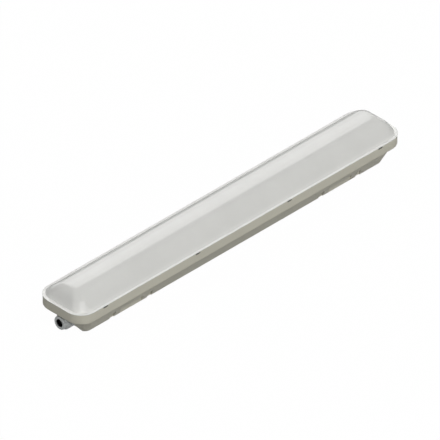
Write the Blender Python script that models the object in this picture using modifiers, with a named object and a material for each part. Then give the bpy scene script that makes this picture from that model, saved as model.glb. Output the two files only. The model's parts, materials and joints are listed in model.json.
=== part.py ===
"""Vapor tight light fixture, in metres, with +Z up and the back plane at Z zero.

A moulded housing with a gasket groove carries a folded gear tray. Two LED boards lie on the tray and the
driver hangs under it. A push-in terminal block stands by the cable gland, at the -X end. The opal cover has
a domed lens, and its tongue sits in the housing's groove on the gasket. It pulls off along +Z.
"""

import math

import bmesh
import bpy
from mathutils import Matrix, Vector

# Shared by every piece
GAP = 0.0003
OVERRUN = 0.004
MERGE_DISTANCE = 0.00001
CORNER_STEPS = 8
SHARP_ANGLE = math.radians(32)
X_AXIS = Vector((1, 0, 0))
Y_AXIS = Vector((0, 1, 0))
Z_AXIS = Vector((0, 0, 1))

# Cover: flange, dome and tongue
COVER_LENGTH = 0.6600
COVER_WIDTH = 0.0948
COVER_CORNER = 0.0268
COVER_WALL = 0.0020
FLANGE_THICKNESS = 0.0009
FLANGE_EDGE = 0.0003
DOME_RISE = 0.0219
DOME_SIDE_MARGIN = 0.0037
DOME_END_MARGIN = 0.0054
DOME_FOOT_CORNER = 0.0220
DOME_END_ANGLE = math.radians(78)
DOME_CREST_ANGLE = math.radians(3)
DOME_STEPS = 9
TONGUE_THICKNESS = 0.0018
TONGUE_CLEARANCE = 0.0009

# Guide lugs on the tongue, one behind each release slot
LUG_WIDTH = 0.0080
LUG_HEIGHT = 0.0030
LUG_DROP = 0.0012

# Cable gland, for a 20 mm thread
GLAND_THREAD_RADIUS = 0.0100
GLAND_NUT_RADIUS = 0.0131
GLAND_MARGIN = 0.0017
GLAND_FLAT_SHARE = 0.94
GLAND_FRONT_RADIUS = 0.0106
GLAND_MOUTH_RADIUS = 0.0060
GLAND_SLEEVE = 0.0024
GLAND_SEAL_THICKNESS = 0.0012
GLAND_COLLAR_LENGTH = 0.0050
GLAND_FRONT_THREAD = 0.0072
GLAND_INNER_THREAD = 0.0080
GLAND_NUT_LENGTH = 0.0188
GLAND_GRIP_LENGTH = 0.0100
GLAND_NOSE_EDGE = 0.0010
GLAND_NOSE_LENGTH = 0.0028
GLAND_CLAW_RADIUS = 0.0091
GLAND_CLAW_LENGTH = 0.0062
GLAND_CLAW_FINGERS = 8
GLAND_CLAW_SLOT = 0.0011
GLAND_CLAW_ROOT = 0.0020
GLAND_INSERT_WALL = 0.0022
GLAND_INSERT_SINK = 0.0060
LOCK_NUT_LENGTH = 0.0050
GLAND_SIDES = 32
RING_SIDES = 24

# Housing: base, rim and gasket groove
RIM_OVERHANG = 0.0006
RIM_HEIGHT = 0.0153
RIM_WALL = 0.0022
RIM_STEP_SIDE = 0.00585
RIM_STEP_END = 0.00635
BASE_WALL = 0.0022
FLOOR_THICKNESS = 0.0025
BASE_CORNER = 0.0205
BACK_CORNER = 0.0110
SIDE_TAPER = 0.01255
END_TAPER = 0.01925
LIP_DROP = 0.0039
EDGE_ROUND = 0.0006

# Release slots in the top of the rim
SLOT_END = 0.05055
SLOT_COUNT = 4
SLOT_WIDTH = 0.0090
SLOT_HEIGHT = 0.0020

# Recesses for mounting clips, low on both long sides
CLIP_END = 0.1177
CLIP_WIDTH = 0.0455
CLIP_HEIGHT = 0.0110
CLIP_INSET = 0.0002
CLIP_NOTCH_PITCH = 0.0754
CLIP_NOTCH_WIDTH = 0.0095
CLIP_NOTCH_INSET = 0.0017

# Pocket that the gland stands in
POCKET_INSET = 0.0028
POCKET_WALL = 0.0028
POCKET_CLEARANCE = 0.0029
POCKET_FLARE = 0.0071

# Gasket
GASKET_HEIGHT = 0.0040
GASKET_CHAMFER = 0.0008

# Gear tray and its posts
TRAY_THICKNESS = 0.0008
TRAY_DROP = 0.0030
TRAY_DEPTH = 0.0100
TRAY_FOLD = 0.0018
TRAY_SIDE_CLEARANCE = 0.0011
TRAY_TERMINAL_MARGIN = 0.0100
POST_RADIUS = 0.0040
POST_EDGE = 0.0060
POST_END = 0.0200
POST_COUNT = 3
POST_HOLE_DEPTH = 0.0120

# Screws, each with its shank's radius and length
TRAY_SCREW_RADIUS = 0.00175
TRAY_SCREW_LENGTH = 0.0100
BOARD_SCREW_RADIUS = 0.0013
DRIVER_SCREW_RADIUS = 0.00165
TERMINAL_SCREW_RADIUS = 0.0014
EARTH_SCREW_RADIUS = 0.00175
EARTH_SCREW_LENGTH = 0.0062
HEAD_RADIUS_SHARE = 2.0
HEAD_HEIGHT_SHARE = 1.2
HEAD_CROWN_SHARE = 0.62
SCREW_SIDES = 12
HOLE_SIDES = 16
HEX_SIDES = 6

# LED boards
BOARD_WIDTH = 0.0240
BOARD_THICKNESS = 0.0016
BOARD_END_MARGIN = 0.0070
BOARD_SPACING = 0.0020
BOARD_SCREW_COUNT = 3
BOARD_SCREW_END = 0.0090
BOARD_SCREW_SIDE = 0.0080
CHIP_LENGTH = 0.0035
CHIP_WIDTH = 0.0028
CHIP_HEIGHT = 0.0008
CHIP_PITCH = 0.0100

# Connectors on the boards
LINK_LENGTH = 0.0150
LINK_WIDTH = 0.0050
LINK_HEIGHT = 0.0036
LINK_SIDE = 0.0070
FEED_LENGTH = 0.0090
FEED_DEPTH = 0.0060
FEED_HEIGHT = 0.0042
FEED_EDGE = 0.0010
FEED_PITCH = 0.0040
CONNECTOR_EDGE = 0.0004

# Driver, under the tray
DRIVER_LENGTH = 0.1000
DRIVER_WIDTH = 0.0300
DRIVER_HEIGHT = 0.0185
DRIVER_PLATE = 0.0015
DRIVER_EAR = 0.0090
DRIVER_EDGE = 0.0014
DRIVER_OFFSET = 0.0750
DRIVER_PORT_DEPTH = 0.0040
DRIVER_PORT_PITCH = 0.0080

# Terminal block by the gland
TERMINAL_DISTANCE = 0.0225
TERMINAL_LENGTH = 0.0200
TERMINAL_HEIGHT = 0.0170
TERMINAL_POLE_PITCH = 0.0092
TERMINAL_POLES = 3
TERMINAL_CHEEK = 0.0020
TERMINAL_EDGE = 0.0006
TERMINAL_SCREW_EDGE = 0.0038
TERMINAL_SCREW_SINK = 0.0025
TERMINAL_SCREW_BITE = 0.0026
TERMINAL_ENTRY_RADIUS = 0.0018
TERMINAL_ENTRY_DEPTH = 0.0060
TERMINAL_ENTRY_HEIGHT = 0.0060
TERMINAL_PAD_HEIGHT = 0.0015
TERMINAL_PAD_MARGIN = 0.0010
BUTTON_LENGTH = 0.0050
BUTTON_WIDTH = 0.0040
BUTTON_HEIGHT = 0.0065
BUTTON_PROUD = 0.0024
BUTTON_TRAVEL = 0.0015
BUTTON_EDGE = 0.0004

# Leads, the grommet that two of them pass, and the earth tag
MAINS_LEAD_RADIUS = 0.0011
LED_LEAD_RADIUS = 0.0008
LEAD_SPACING = 0.0072
LEAD_REACH = 0.0450
LED_LEAD_REACH = 0.0220
GROMMET_BORE = 0.0026
GROMMET_WALL = 0.0010
GROMMET_LIP = 0.0011
GROMMET_LIP_HEIGHT = 0.0010
GROMMET_DISTANCE = 0.0260
GROMMET_SIDE = 0.0070
TAG_RADIUS = 0.0038
TAG_THICKNESS = 0.0008
TAG_LENGTH = 0.0095
TAG_BARREL_RADIUS = 0.0018
TAG_BARREL_LENGTH = 0.0060
EARTH_DISTANCE = 0.0480
EARTH_POST_CLEARANCE = 0.0020
EARTH_NUT_RADIUS = 0.0033
EARTH_NUT_HEIGHT = 0.0024

# Places that follow from the sizes above
COVER_HALF_X = COVER_LENGTH / 2
COVER_HALF_Y = COVER_WIDTH / 2
RIM_HALF_X = COVER_HALF_X - RIM_OVERHANG
RIM_HALF_Y = COVER_HALF_Y - RIM_OVERHANG
RIM_CORNER = COVER_CORNER - RIM_OVERHANG
BASE_HALF_X = RIM_HALF_X - RIM_STEP_END
BASE_HALF_Y = RIM_HALF_Y - RIM_STEP_SIDE
BACK_HALF_X = BASE_HALF_X - END_TAPER
BACK_HALF_Y = BASE_HALF_Y - SIDE_TAPER
GLAND_Z = GLAND_NUT_RADIUS + GLAND_MARGIN
BASE_DEPTH = 2 * GLAND_Z
RIM_TOP = BASE_DEPTH + RIM_HEIGHT
GROOVE_FLOOR = BASE_DEPTH + BASE_WALL
LIP_TOP = RIM_TOP - LIP_DROP
GASKET_BOTTOM = GROOVE_FLOOR + GAP
GASKET_TOP = GASKET_BOTTOM + GASKET_HEIGHT
FLANGE_BOTTOM = RIM_TOP + GAP
FLANGE_TOP = FLANGE_BOTTOM + FLANGE_THICKNESS
TONGUE_BOTTOM = GASKET_TOP + GAP
TONGUE_INSET = RIM_WALL + TONGUE_CLEARANCE
DOME_FOOT_X = COVER_HALF_X - DOME_END_MARGIN
DOME_FOOT_Y = COVER_HALF_Y - DOME_SIDE_MARGIN
DOME_END_RADIUS = DOME_RISE / (1 - math.cos(DOME_END_ANGLE))
DOME_SIDE_RADIUS = (DOME_FOOT_Y ** 2 + DOME_RISE ** 2) / (2 * DOME_RISE)
DOME_STRAIGHT_X = DOME_FOOT_X - DOME_END_RADIUS * math.sin(DOME_END_ANGLE)
SEAT_X = -(BACK_HALF_X - POCKET_INSET)
SEAT_INNER_X = SEAT_X + POCKET_WALL
TERMINAL_X = SEAT_INNER_X + TERMINAL_DISTANCE + TERMINAL_LENGTH / 2
TRAY_TOP = LIP_TOP - TRAY_DROP
TRAY_BOTTOM = TRAY_TOP - TRAY_THICKNESS
TRAY_START = TERMINAL_X + TERMINAL_LENGTH / 2 + TRAY_TERMINAL_MARGIN
TRAY_END = BASE_HALF_X - BASE_CORNER
TRAY_MIDDLE = (TRAY_START + TRAY_END) / 2
POST_TOP = TRAY_BOTTOM - GAP
BOARD_BOTTOM = TRAY_TOP + GAP
BOARD_TOP = BOARD_BOTTOM + BOARD_THICKNESS
BOARD_LENGTH = (TRAY_END - TRAY_START - BOARD_SPACING) / 2 - BOARD_END_MARGIN
BOARD_SCREW_LENGTH = BOARD_THICKNESS + TRAY_THICKNESS + 2 * GAP
DRIVER_SCREW_LENGTH = DRIVER_PLATE + TRAY_THICKNESS + 2 * GAP
DRIVER_TOP = TRAY_BOTTOM - GAP
DRIVER_CASE_TOP = DRIVER_TOP - DRIVER_PLATE - GAP
DRIVER_X = TRAY_MIDDLE - DRIVER_OFFSET
TERMINAL_WIDTH = TERMINAL_POLES * TERMINAL_POLE_PITCH + 2 * TERMINAL_CHEEK
TERMINAL_BOTTOM = FLOOR_THICKNESS + TERMINAL_PAD_HEIGHT + GAP
TERMINAL_TOP = TERMINAL_BOTTOM + TERMINAL_HEIGHT
TERMINAL_PAD_TOP = TERMINAL_BOTTOM - GAP
TERMINAL_SCREW_SEAT = TERMINAL_TOP - TERMINAL_SCREW_SINK
TERMINAL_SCREW_TIP = TERMINAL_PAD_TOP - TERMINAL_SCREW_BITE
TERMINAL_SCREW_LENGTH = TERMINAL_SCREW_SEAT + GAP - TERMINAL_SCREW_TIP
GROMMET_X = TRAY_MIDDLE + GROMMET_DISTANCE
GROMMET_Y = BOARD_WIDTH / 2 + GROMMET_SIDE
FEED_X = GROMMET_X
FEED_Y = BOARD_WIDTH / 2 - FEED_EDGE - FEED_DEPTH / 2
TAG_TOP = TRAY_BOTTOM - GAP
ARCH_RADIUS = GLAND_NUT_RADIUS + POCKET_CLEARANCE

# Colours
OPAL_WHITE = (0.80, 0.80, 0.77)
WARM_GREY = (0.42, 0.41, 0.36)
GLAND_GREY = (0.31, 0.33, 0.35)
SHEET_WHITE = (0.83, 0.83, 0.82)
MASK_WHITE = (0.88, 0.88, 0.86)
SEAL_BLACK = (0.02, 0.02, 0.02)
SEAL_GREY = (0.16, 0.16, 0.16)
ZINC = (0.62, 0.62, 0.60)
BRASS = (0.72, 0.55, 0.25)
NATURAL_NYLON = (0.75, 0.74, 0.68)
BUTTON_ORANGE = (0.80, 0.25, 0.04)
LIVE_BROWN = (0.16, 0.06, 0.02)
NEUTRAL_BLUE = (0.02, 0.10, 0.45)
EARTH_GREEN = (0.10, 0.36, 0.05)
LEAD_RED = (0.55, 0.02, 0.02)
LEAD_BLACK = (0.03, 0.03, 0.03)


def clear_scene():
    for obj in list(bpy.data.objects):
        bpy.data.objects.remove(obj)


def collection(name):
    made = bpy.data.collections.new(name)
    bpy.context.scene.collection.children.link(made)
    return made


def place(name, data, group):
    obj = bpy.data.objects.new(name, data)
    group.objects.link(obj)
    return obj


def finish(obj, colour, roughness, metallic=0.0):
    """Gives a piece its own material and smooth shading with sharp edges."""
    material = bpy.data.materials.new(obj.name)
    material.use_nodes = True
    shader = material.node_tree.nodes["Principled BSDF"]
    shader.inputs["Base Color"].default_value = (*colour, 1.0)
    shader.inputs["Roughness"].default_value = roughness
    shader.inputs["Metallic"].default_value = metallic
    obj.data.materials.append(material)
    if obj.type == "MESH":
        obj.data.shade_smooth()
        obj.data.set_sharp_from_angle(angle=SHARP_ANGLE)
    return obj


def mesh_of(name, bm):
    """Closes a bmesh into mesh data with its faces pointing out."""
    bmesh.ops.recalc_face_normals(bm, faces=bm.faces)
    mesh = bpy.data.meshes.new(name)
    bm.to_mesh(mesh)
    bm.free()
    return mesh


def evaluated_mesh(obj):
    """A piece's shape after its modifiers, as mesh data of its own. The piece is removed."""
    bpy.context.view_layer.update()
    mesh = bpy.data.meshes.new_from_object(obj.evaluated_get(bpy.context.evaluated_depsgraph_get()))
    bpy.data.objects.remove(obj)
    return mesh


def rounded_outline(half_x, half_y, radius, height):
    """Points of a rounded rectangle at one height."""
    points = []
    for quarter, (side_x, side_y) in enumerate(((1, 1), (-1, 1), (-1, -1), (1, -1))):
        centre = Vector((side_x * (half_x - radius), side_y * (half_y - radius), height))
        for step in range(CORNER_STEPS + 1):
            angle = (quarter + step / CORNER_STEPS) * math.pi / 2
            points.append(centre + radius * Vector((math.cos(angle), math.sin(angle), 0)))
    return points


def loft(name, rings, group, closed=False):
    """Joins outlines of equal point count. A closed loft joins the last to the first, others are capped."""
    bm = bmesh.new()
    rows = [[bm.verts.new(point) for point in ring] for ring in rings]
    following = rows[1:] + rows[:1] if closed else rows[1:]
    for lower, upper in zip(rows, following):
        for index in range(len(lower)):
            after = (index + 1) % len(lower)
            bm.faces.new((lower[index], lower[after], upper[after], upper[index]))
    if not closed:
        bm.faces.new(rows[0])
        bm.faces.new(rows[-1])
    return place(name, mesh_of(name, bm), group)


def box_mesh(name, boxes, edge=0):
    """Mesh data of one or more boxes, each given as its centre and its size, with edges rounded by edge."""
    bm = bmesh.new()
    for centre, size in boxes:
        shape = Matrix.Translation(centre) @ Matrix.Diagonal((*size, 1))
        bmesh.ops.create_cube(bm, size=1, matrix=shape)
    if edge:
        bmesh.ops.bevel(bm, geom=bm.edges[:], offset=edge, segments=1, affect="EDGES")
    return mesh_of(name, bm)


def boxes(name, items, group, edge=0):
    return place(name, box_mesh(name, items, edge), group)


def rods(name, rod_list, group, sides=SCREW_SIDES):
    """Cylinders, each given as its start, its end and its radius."""
    bm = bmesh.new()
    for start, end, radius in rod_list:
        along = Vector(end) - Vector(start)
        turn = Z_AXIS.rotation_difference(along).to_matrix().to_4x4()
        shape = Matrix.Translation((Vector(start) + Vector(end)) / 2) @ turn
        bmesh.ops.create_cone(bm, cap_ends=True, segments=sides, radius1=radius, radius2=radius,
                              depth=along.length, matrix=shape)
    return place(name, mesh_of(name, bm), group)


def prism(name, outline, depth, group):
    """A flat outline pushed along depth, a vector."""
    bm = bmesh.new()
    face = bm.faces.new([bm.verts.new(point) for point in outline])
    pushed = bmesh.ops.extrude_face_region(bm, geom=[face])
    moved = [item for item in pushed["geom"] if isinstance(item, bmesh.types.BMVert)]
    bmesh.ops.translate(bm, vec=depth, verts=moved)
    return place(name, mesh_of(name, bm), group)


def turned(name, profile, group, sides=RING_SIDES):
    """A profile of (radius, height) points turned about Z. It runs down its outer side."""
    mesh = bpy.data.meshes.new(name)
    count = len(profile)
    on_axis = profile[0][0] == 0
    edges = [(index, (index + 1) % count) for index in range(count - 1 if on_axis else count)]
    mesh.from_pydata([(radius, 0, height) for radius, height in profile], edges, [])
    obj = place(name, mesh, group)
    turn = obj.modifiers.new("turn", "SCREW")
    turn.axis = "Z"
    turn.angle = math.tau
    turn.steps = sides
    turn.render_steps = sides
    turn.use_merge_vertices = True
    turn.merge_threshold = MERGE_DISTANCE
    turn.use_smooth_shade = True
    return obj


def cutter(obj):
    """Marks a shape as one that only cuts others."""
    obj.hide_render = True
    obj.display_type = "WIRE"
    return obj


def carve(target, tool, operation="DIFFERENCE"):
    step = target.modifiers.new(tool.name, "BOOLEAN")
    step.operation = operation
    step.solver = "EXACT"
    step.object = cutter(tool)


def screw_profile(shank, length):
    """Pan head over a shank. The underside of the head is at height zero."""
    head = shank * HEAD_RADIUS_SHARE
    height = shank * HEAD_HEIGHT_SHARE
    crown = head * HEAD_CROWN_SHARE
    rim = height * (1 - HEAD_CROWN_SHARE)
    return [(0, height), (crown, height), (head, rim), (head, 0), (shank, 0), (shank, -length), (0, -length)]


def screws(name, radius, length, places, group, direction=1):
    """Like fasteners that share one mesh. Their heads face +Z, or -Z where direction is -1."""
    unit = turned(name, screw_profile(radius, length), group, SCREW_SIDES)
    mesh = evaluated_mesh(unit)
    for number, spot in enumerate(places, start=1):
        label = name if len(places) == 1 else name + "_" + str(number)
        one = place(label, mesh, group)
        one.location = spot
        one.rotation_euler = (0 if direction > 0 else math.pi, 0, 0)
    finish(one, ZINC, 0.35, 1.0)


def hole_cutter(name, places, radius, low, high, group, sides=HOLE_SIDES):
    """Upright round holes at places, from height low to high."""
    items = [(Vector((x, y, low)), Vector((x, y, high)), radius) for x, y in places]
    return rods(name, items, group, sides)


def base_outline(height, inset):
    """The tapered outer wall of the base at a height, drawn in by inset."""
    share = min(height / BASE_DEPTH, 1)
    half_x = BACK_HALF_X + share * END_TAPER - inset
    half_y = BACK_HALF_Y + share * SIDE_TAPER - inset
    return rounded_outline(half_x, half_y, BACK_CORNER + share * (BASE_CORNER - BACK_CORNER) - inset, height)


def base_half_width(height):
    return BACK_HALF_Y + min(height / BASE_DEPTH, 1) * SIDE_TAPER


def rim_outline(height, inset):
    return rounded_outline(RIM_HALF_X - inset, RIM_HALF_Y - inset, RIM_CORNER - inset, height)


def lip_outline(height, inset):
    """The wall between the cavity and the gasket groove."""
    return rounded_outline(BASE_HALF_X - inset, BASE_HALF_Y - inset, BASE_CORNER - inset, height)


def post_places():
    """Where the tray is screwed down, in pairs along the tray."""
    first = TRAY_START + POST_END
    step = (TRAY_END - POST_END - first) / (POST_COUNT - 1)
    side = tray_half_width() - POST_EDGE
    return [(first + index * step, sign * side) for index in range(POST_COUNT) for sign in (-1, 1)]


def tray_half_width():
    return base_half_width(TRAY_TOP - TRAY_DEPTH) - BASE_WALL - TRAY_SIDE_CLEARANCE


def slot_positions():
    """From one end of the rim to the other, at even steps."""
    first = SLOT_END - COVER_HALF_X
    return [first * (1 - 2 * index / (SLOT_COUNT - 1)) for index in range(SLOT_COUNT)]


def arch_outline(x, radius, top):
    """The gland pocket's outline across the end wall: splayed feet, and an arch cut off level at top."""
    foot = radius + POCKET_FLARE * (GLAND_Z + OVERRUN) / GLAND_Z
    points = [Vector((x, -foot, -OVERRUN)), Vector((x, foot, -OVERRUN))]
    for step in range(CORNER_STEPS * 2 + 1):
        angle = math.pi * step / (CORNER_STEPS * 2)
        height = min(GLAND_Z + radius * math.sin(angle), top)
        points.append(Vector((x, radius * math.cos(angle), height)))
    return points


def clip_boxes(grow):
    """The clip recesses, each a wide bay between two narrower notches, grown on every side."""
    items = []
    for x in (CLIP_END - COVER_HALF_X, COVER_HALF_X - CLIP_END):
        for side in (-1, 1):
            for offset, width, inset in (
                (0, CLIP_WIDTH, CLIP_INSET),
                (-CLIP_NOTCH_PITCH / 2, CLIP_NOTCH_WIDTH, CLIP_NOTCH_INSET),
                (CLIP_NOTCH_PITCH / 2, CLIP_NOTCH_WIDTH, CLIP_NOTCH_INSET),
            ):
                inner = BACK_HALF_Y - inset - grow
                outer = BASE_HALF_Y + OVERRUN
                low = -OVERRUN
                high = CLIP_HEIGHT + grow
                centre = Vector((x + offset, side * (inner + outer) / 2, (low + high) / 2))
                items.append((centre, (width + 2 * grow, outer - inner, high - low)))
    return items


def cavity(cutters):
    """The space inside the housing with the gasket groove, less what stands in it."""
    hollow = loft("cavity", [
        base_outline(FLOOR_THICKNESS, BASE_WALL),
        base_outline(BASE_DEPTH, BASE_WALL),
        lip_outline(LIP_TOP, BASE_WALL),
        lip_outline(LIP_TOP, 0),
        lip_outline(GROOVE_FLOOR, 0),
        rim_outline(GROOVE_FLOOR, RIM_WALL),
        rim_outline(RIM_TOP + OVERRUN, RIM_WALL),
    ], cutters)
    carve(hollow, hole_cutter("posts", post_places(), POST_RADIUS, -OVERRUN, POST_TOP, cutters))
    carve(hollow, boxes("clip_backing", clip_boxes(BASE_WALL), cutters))
    seat = arch_outline(-RIM_HALF_X, ARCH_RADIUS + BASE_WALL, GROOVE_FLOOR)
    carve(hollow, prism("seat_backing", seat, Vector((SEAT_INNER_X + RIM_HALF_X, 0, 0)), cutters))
    margins = 2 * TERMINAL_PAD_MARGIN
    pad = (Vector((TERMINAL_X, 0, TERMINAL_PAD_TOP / 2)),
           (TERMINAL_LENGTH + margins, TERMINAL_WIDTH + margins, TERMINAL_PAD_TOP))
    carve(hollow, boxes("terminal_pad", [pad], cutters))
    return hollow


def housing(parts, cutters):
    """The moulded base with its rim, clip recesses, gland seat, release slots and screw posts."""
    body = loft("housing", [
        base_outline(0, EDGE_ROUND),
        base_outline(EDGE_ROUND, 0),
        base_outline(BASE_DEPTH, 0),
        rim_outline(BASE_DEPTH, EDGE_ROUND),
        rim_outline(BASE_DEPTH + EDGE_ROUND, 0),
        rim_outline(RIM_TOP, 0),
    ], parts)
    carve(body, cavity(cutters))
    carve(body, boxes("clip_recesses", clip_boxes(0), cutters))
    pocket = arch_outline(SEAT_X, ARCH_RADIUS, BASE_DEPTH)
    carve(body, prism("gland_pocket", pocket, Vector((-(RIM_HALF_X + SEAT_X + OVERRUN), 0, 0)), cutters))
    bore = (Vector((SEAT_X - OVERRUN, 0, GLAND_Z)), Vector((SEAT_INNER_X + OVERRUN, 0, GLAND_Z)),
            GLAND_THREAD_RADIUS + GAP)
    carve(body, rods("gland_hole", [bore], cutters, GLAND_SIDES))
    slot_depth = RIM_WALL + 2 * OVERRUN
    slots = [(Vector((x, side * (RIM_HALF_Y - RIM_WALL - GAP + slot_depth / 2), RIM_TOP)),
              (SLOT_WIDTH, slot_depth, 2 * SLOT_HEIGHT))
             for x in slot_positions() for side in (-1, 1)]
    carve(body, boxes("release_slots", slots, cutters))
    carve(body, hole_cutter("post_holes", post_places(), TRAY_SCREW_RADIUS + GAP, POST_TOP - POST_HOLE_DEPTH,
                            POST_TOP + OVERRUN, cutters))
    carve(body, hole_cutter("terminal_screw_holes", terminal_screw_places(), TERMINAL_SCREW_RADIUS + GAP,
                            TERMINAL_SCREW_TIP - GAP, TERMINAL_PAD_TOP + OVERRUN, cutters))
    return finish(body, WARM_GREY, 0.45)


def gasket(parts):
    """The seal that lies in the groove under the cover's tongue."""
    top = GASKET_TOP
    shoulder = top - GASKET_CHAMFER
    ring = loft("rim_gasket", [
        lip_outline(GASKET_BOTTOM, -GAP),
        rim_outline(GASKET_BOTTOM, RIM_WALL + GAP),
        rim_outline(shoulder, RIM_WALL + GAP),
        rim_outline(top, RIM_WALL + GAP + GASKET_CHAMFER),
        lip_outline(top, -GAP - GASKET_CHAMFER),
        lip_outline(shoulder, -GAP),
    ], parts, closed=True)
    return finish(ring, SEAL_GREY, 0.8)


def dome_outline(rise, inset):
    """The dome at a height above the flange, drawn in by inset. Arcs close it over its sides and its ends."""
    end_centre = DOME_RISE - DOME_END_RADIUS
    side_centre = DOME_RISE - DOME_SIDE_RADIUS
    half_x = DOME_STRAIGHT_X + math.sqrt((DOME_END_RADIUS - inset) ** 2 - (rise - end_centre) ** 2)
    half_y = math.sqrt((DOME_SIDE_RADIUS - inset) ** 2 - (rise - side_centre) ** 2)
    radius = DOME_FOOT_CORNER * half_y / DOME_FOOT_Y
    return rounded_outline(half_x, half_y, radius, FLANGE_TOP + rise)


def dome_rings(inset, first_angle):
    """Outlines from the foot to the crest."""
    rings = []
    for step in range(DOME_STEPS + 1):
        angle = first_angle + (DOME_CREST_ANGLE - first_angle) * step / DOME_STEPS
        rise = DOME_RISE - DOME_END_RADIUS + (DOME_END_RADIUS - inset) * math.cos(angle)
        rings.append(dome_outline(rise, inset))
    return rings


def cover(parts, cutters):
    """The opal cover: dome, flange and the tongue that enters the gasket groove."""
    inner_angle = math.acos((DOME_END_RADIUS - DOME_RISE) / (DOME_END_RADIUS - COVER_WALL))
    flange = [
        rounded_outline(COVER_HALF_X - FLANGE_EDGE, COVER_HALF_Y - FLANGE_EDGE, COVER_CORNER - FLANGE_EDGE,
                        FLANGE_TOP),
        rounded_outline(COVER_HALF_X, COVER_HALF_Y, COVER_CORNER, FLANGE_TOP - FLANGE_EDGE),
        rounded_outline(COVER_HALF_X, COVER_HALF_Y, COVER_CORNER, FLANGE_BOTTOM),
    ]
    tongue = [
        rim_outline(FLANGE_BOTTOM, TONGUE_INSET),
        rim_outline(TONGUE_BOTTOM, TONGUE_INSET),
        rim_outline(TONGUE_BOTTOM, TONGUE_INSET + TONGUE_THICKNESS),
        rim_outline(FLANGE_BOTTOM, TONGUE_INSET + TONGUE_THICKNESS),
    ]
    outside = list(reversed(dome_rings(0, DOME_END_ANGLE)))
    shell = loft("diffuser_cover", outside + flange + tongue + dome_rings(COVER_WALL, inner_angle), parts)
    lug_top = RIM_TOP - SLOT_HEIGHT - LUG_DROP
    lug_proud = TONGUE_CLEARANCE - GAP
    face = RIM_HALF_Y - TONGUE_INSET
    root = TONGUE_THICKNESS / 2
    lugs = [(Vector((x, side * (face + (lug_proud - root) / 2), lug_top - LUG_HEIGHT / 2)),
             (LUG_WIDTH, lug_proud + root, LUG_HEIGHT))
            for x in slot_positions() for side in (-1, 1)]
    carve(shell, boxes("guide_lugs", lugs, cutters), "UNION")
    return finish(shell, OPAL_WHITE, 0.3)


def channel_outline(x):
    """Section of the folded tray: a flat top with both long sides turned down."""
    half = tray_half_width()
    foot = TRAY_TOP - TRAY_DEPTH
    inner_fold = TRAY_FOLD - TRAY_THICKNESS
    centre = half - TRAY_FOLD
    arc = [step / (CORNER_STEPS / 2) * math.pi / 2 for step in range(CORNER_STEPS // 2 + 1)]
    height = TRAY_TOP - TRAY_FOLD
    outer = [(centre + TRAY_FOLD * math.sin(angle), height + TRAY_FOLD * math.cos(angle)) for angle in arc]
    inner = [(centre + inner_fold * math.sin(angle), height + inner_fold * math.cos(angle)) for angle in arc]
    right = outer + [(half, foot), (half - TRAY_THICKNESS, foot)] + list(reversed(inner))
    left = [(-y, z) for y, z in reversed(right)]
    return [Vector((x, y, z)) for y, z in right + left]


def gear_tray(parts, cutters):
    """Folded white sheet that carries the boards on top and the driver underneath."""
    tray = prism("gear_tray", channel_outline(TRAY_START), Vector((TRAY_END - TRAY_START, 0, 0)), parts)
    low = TRAY_BOTTOM - OVERRUN
    high = TRAY_TOP + OVERRUN
    for name, places, radius in (
        ("tray_screw_holes", post_places(), TRAY_SCREW_RADIUS),
        ("tray_board_holes", board_screw_places(), BOARD_SCREW_RADIUS),
        ("tray_driver_holes", driver_screw_places(), DRIVER_SCREW_RADIUS),
        ("tray_earth_hole", [earth_place()], EARTH_SCREW_RADIUS),
        ("tray_grommet_hole", [(GROMMET_X, GROMMET_Y)], GROMMET_BORE + GROMMET_WALL),
    ):
        carve(tray, hole_cutter(name, places, radius + GAP, low, high, cutters))
    return finish(tray, SHEET_WHITE, 0.4)


def tray_screws(parts):
    places = [Vector((x, y, TRAY_TOP + GAP)) for x, y in post_places()]
    screws("tray_screw", TRAY_SCREW_RADIUS, TRAY_SCREW_LENGTH, places, parts)


def board_centre(index):
    """Middle of LED board 0, at the gland end, or board 1."""
    step = BOARD_LENGTH + BOARD_SPACING
    return TRAY_MIDDLE + (index - 1 / 2) * step


def board_screw_places(boards=(0, 1)):
    places = []
    for index in boards:
        reach = BOARD_LENGTH / 2 - BOARD_SCREW_END
        for number in range(BOARD_SCREW_COUNT):
            x = board_centre(index) + reach * (2 * number / (BOARD_SCREW_COUNT - 1) - 1)
            side = 1 if number % 2 else -1
            places.append((x, side * BOARD_SCREW_SIDE))
    return places


def chip_boxes(index):
    """One row of LED packages soldered along a board, clear of its ends."""
    count = int((BOARD_LENGTH - 2 * BOARD_SCREW_END) / CHIP_PITCH)
    height = CHIP_HEIGHT + BOARD_THICKNESS / 2
    items = []
    for number in range(count):
        x = board_centre(index) + (number - (count - 1) / 2) * CHIP_PITCH
        centre = Vector((x, 0, BOARD_TOP + CHIP_HEIGHT - height / 2))
        items.append((centre, (CHIP_LENGTH, CHIP_WIDTH, height)))
    return items


def led_board(index, name, parts, cutters):
    """White board on an aluminium core, with its LED packages."""
    size = (BOARD_LENGTH, BOARD_WIDTH, BOARD_THICKNESS)
    centre = Vector((board_centre(index), 0, BOARD_BOTTOM + BOARD_THICKNESS / 2))
    board = boxes(name, [(centre, size)], parts)
    carve(board, boxes(name + "_chips", chip_boxes(index), cutters), "UNION")
    carve(board, hole_cutter(name + "_holes", board_screw_places((index,)), BOARD_SCREW_RADIUS + GAP,
                             BOARD_BOTTOM - OVERRUN, BOARD_TOP + OVERRUN, cutters))
    return finish(board, MASK_WHITE, 0.35)


def board_screws(parts):
    places = [Vector((x, y, BOARD_TOP + GAP)) for x, y in board_screw_places()]
    screws("board_screw", BOARD_SCREW_RADIUS, BOARD_SCREW_LENGTH, places, parts)


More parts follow.
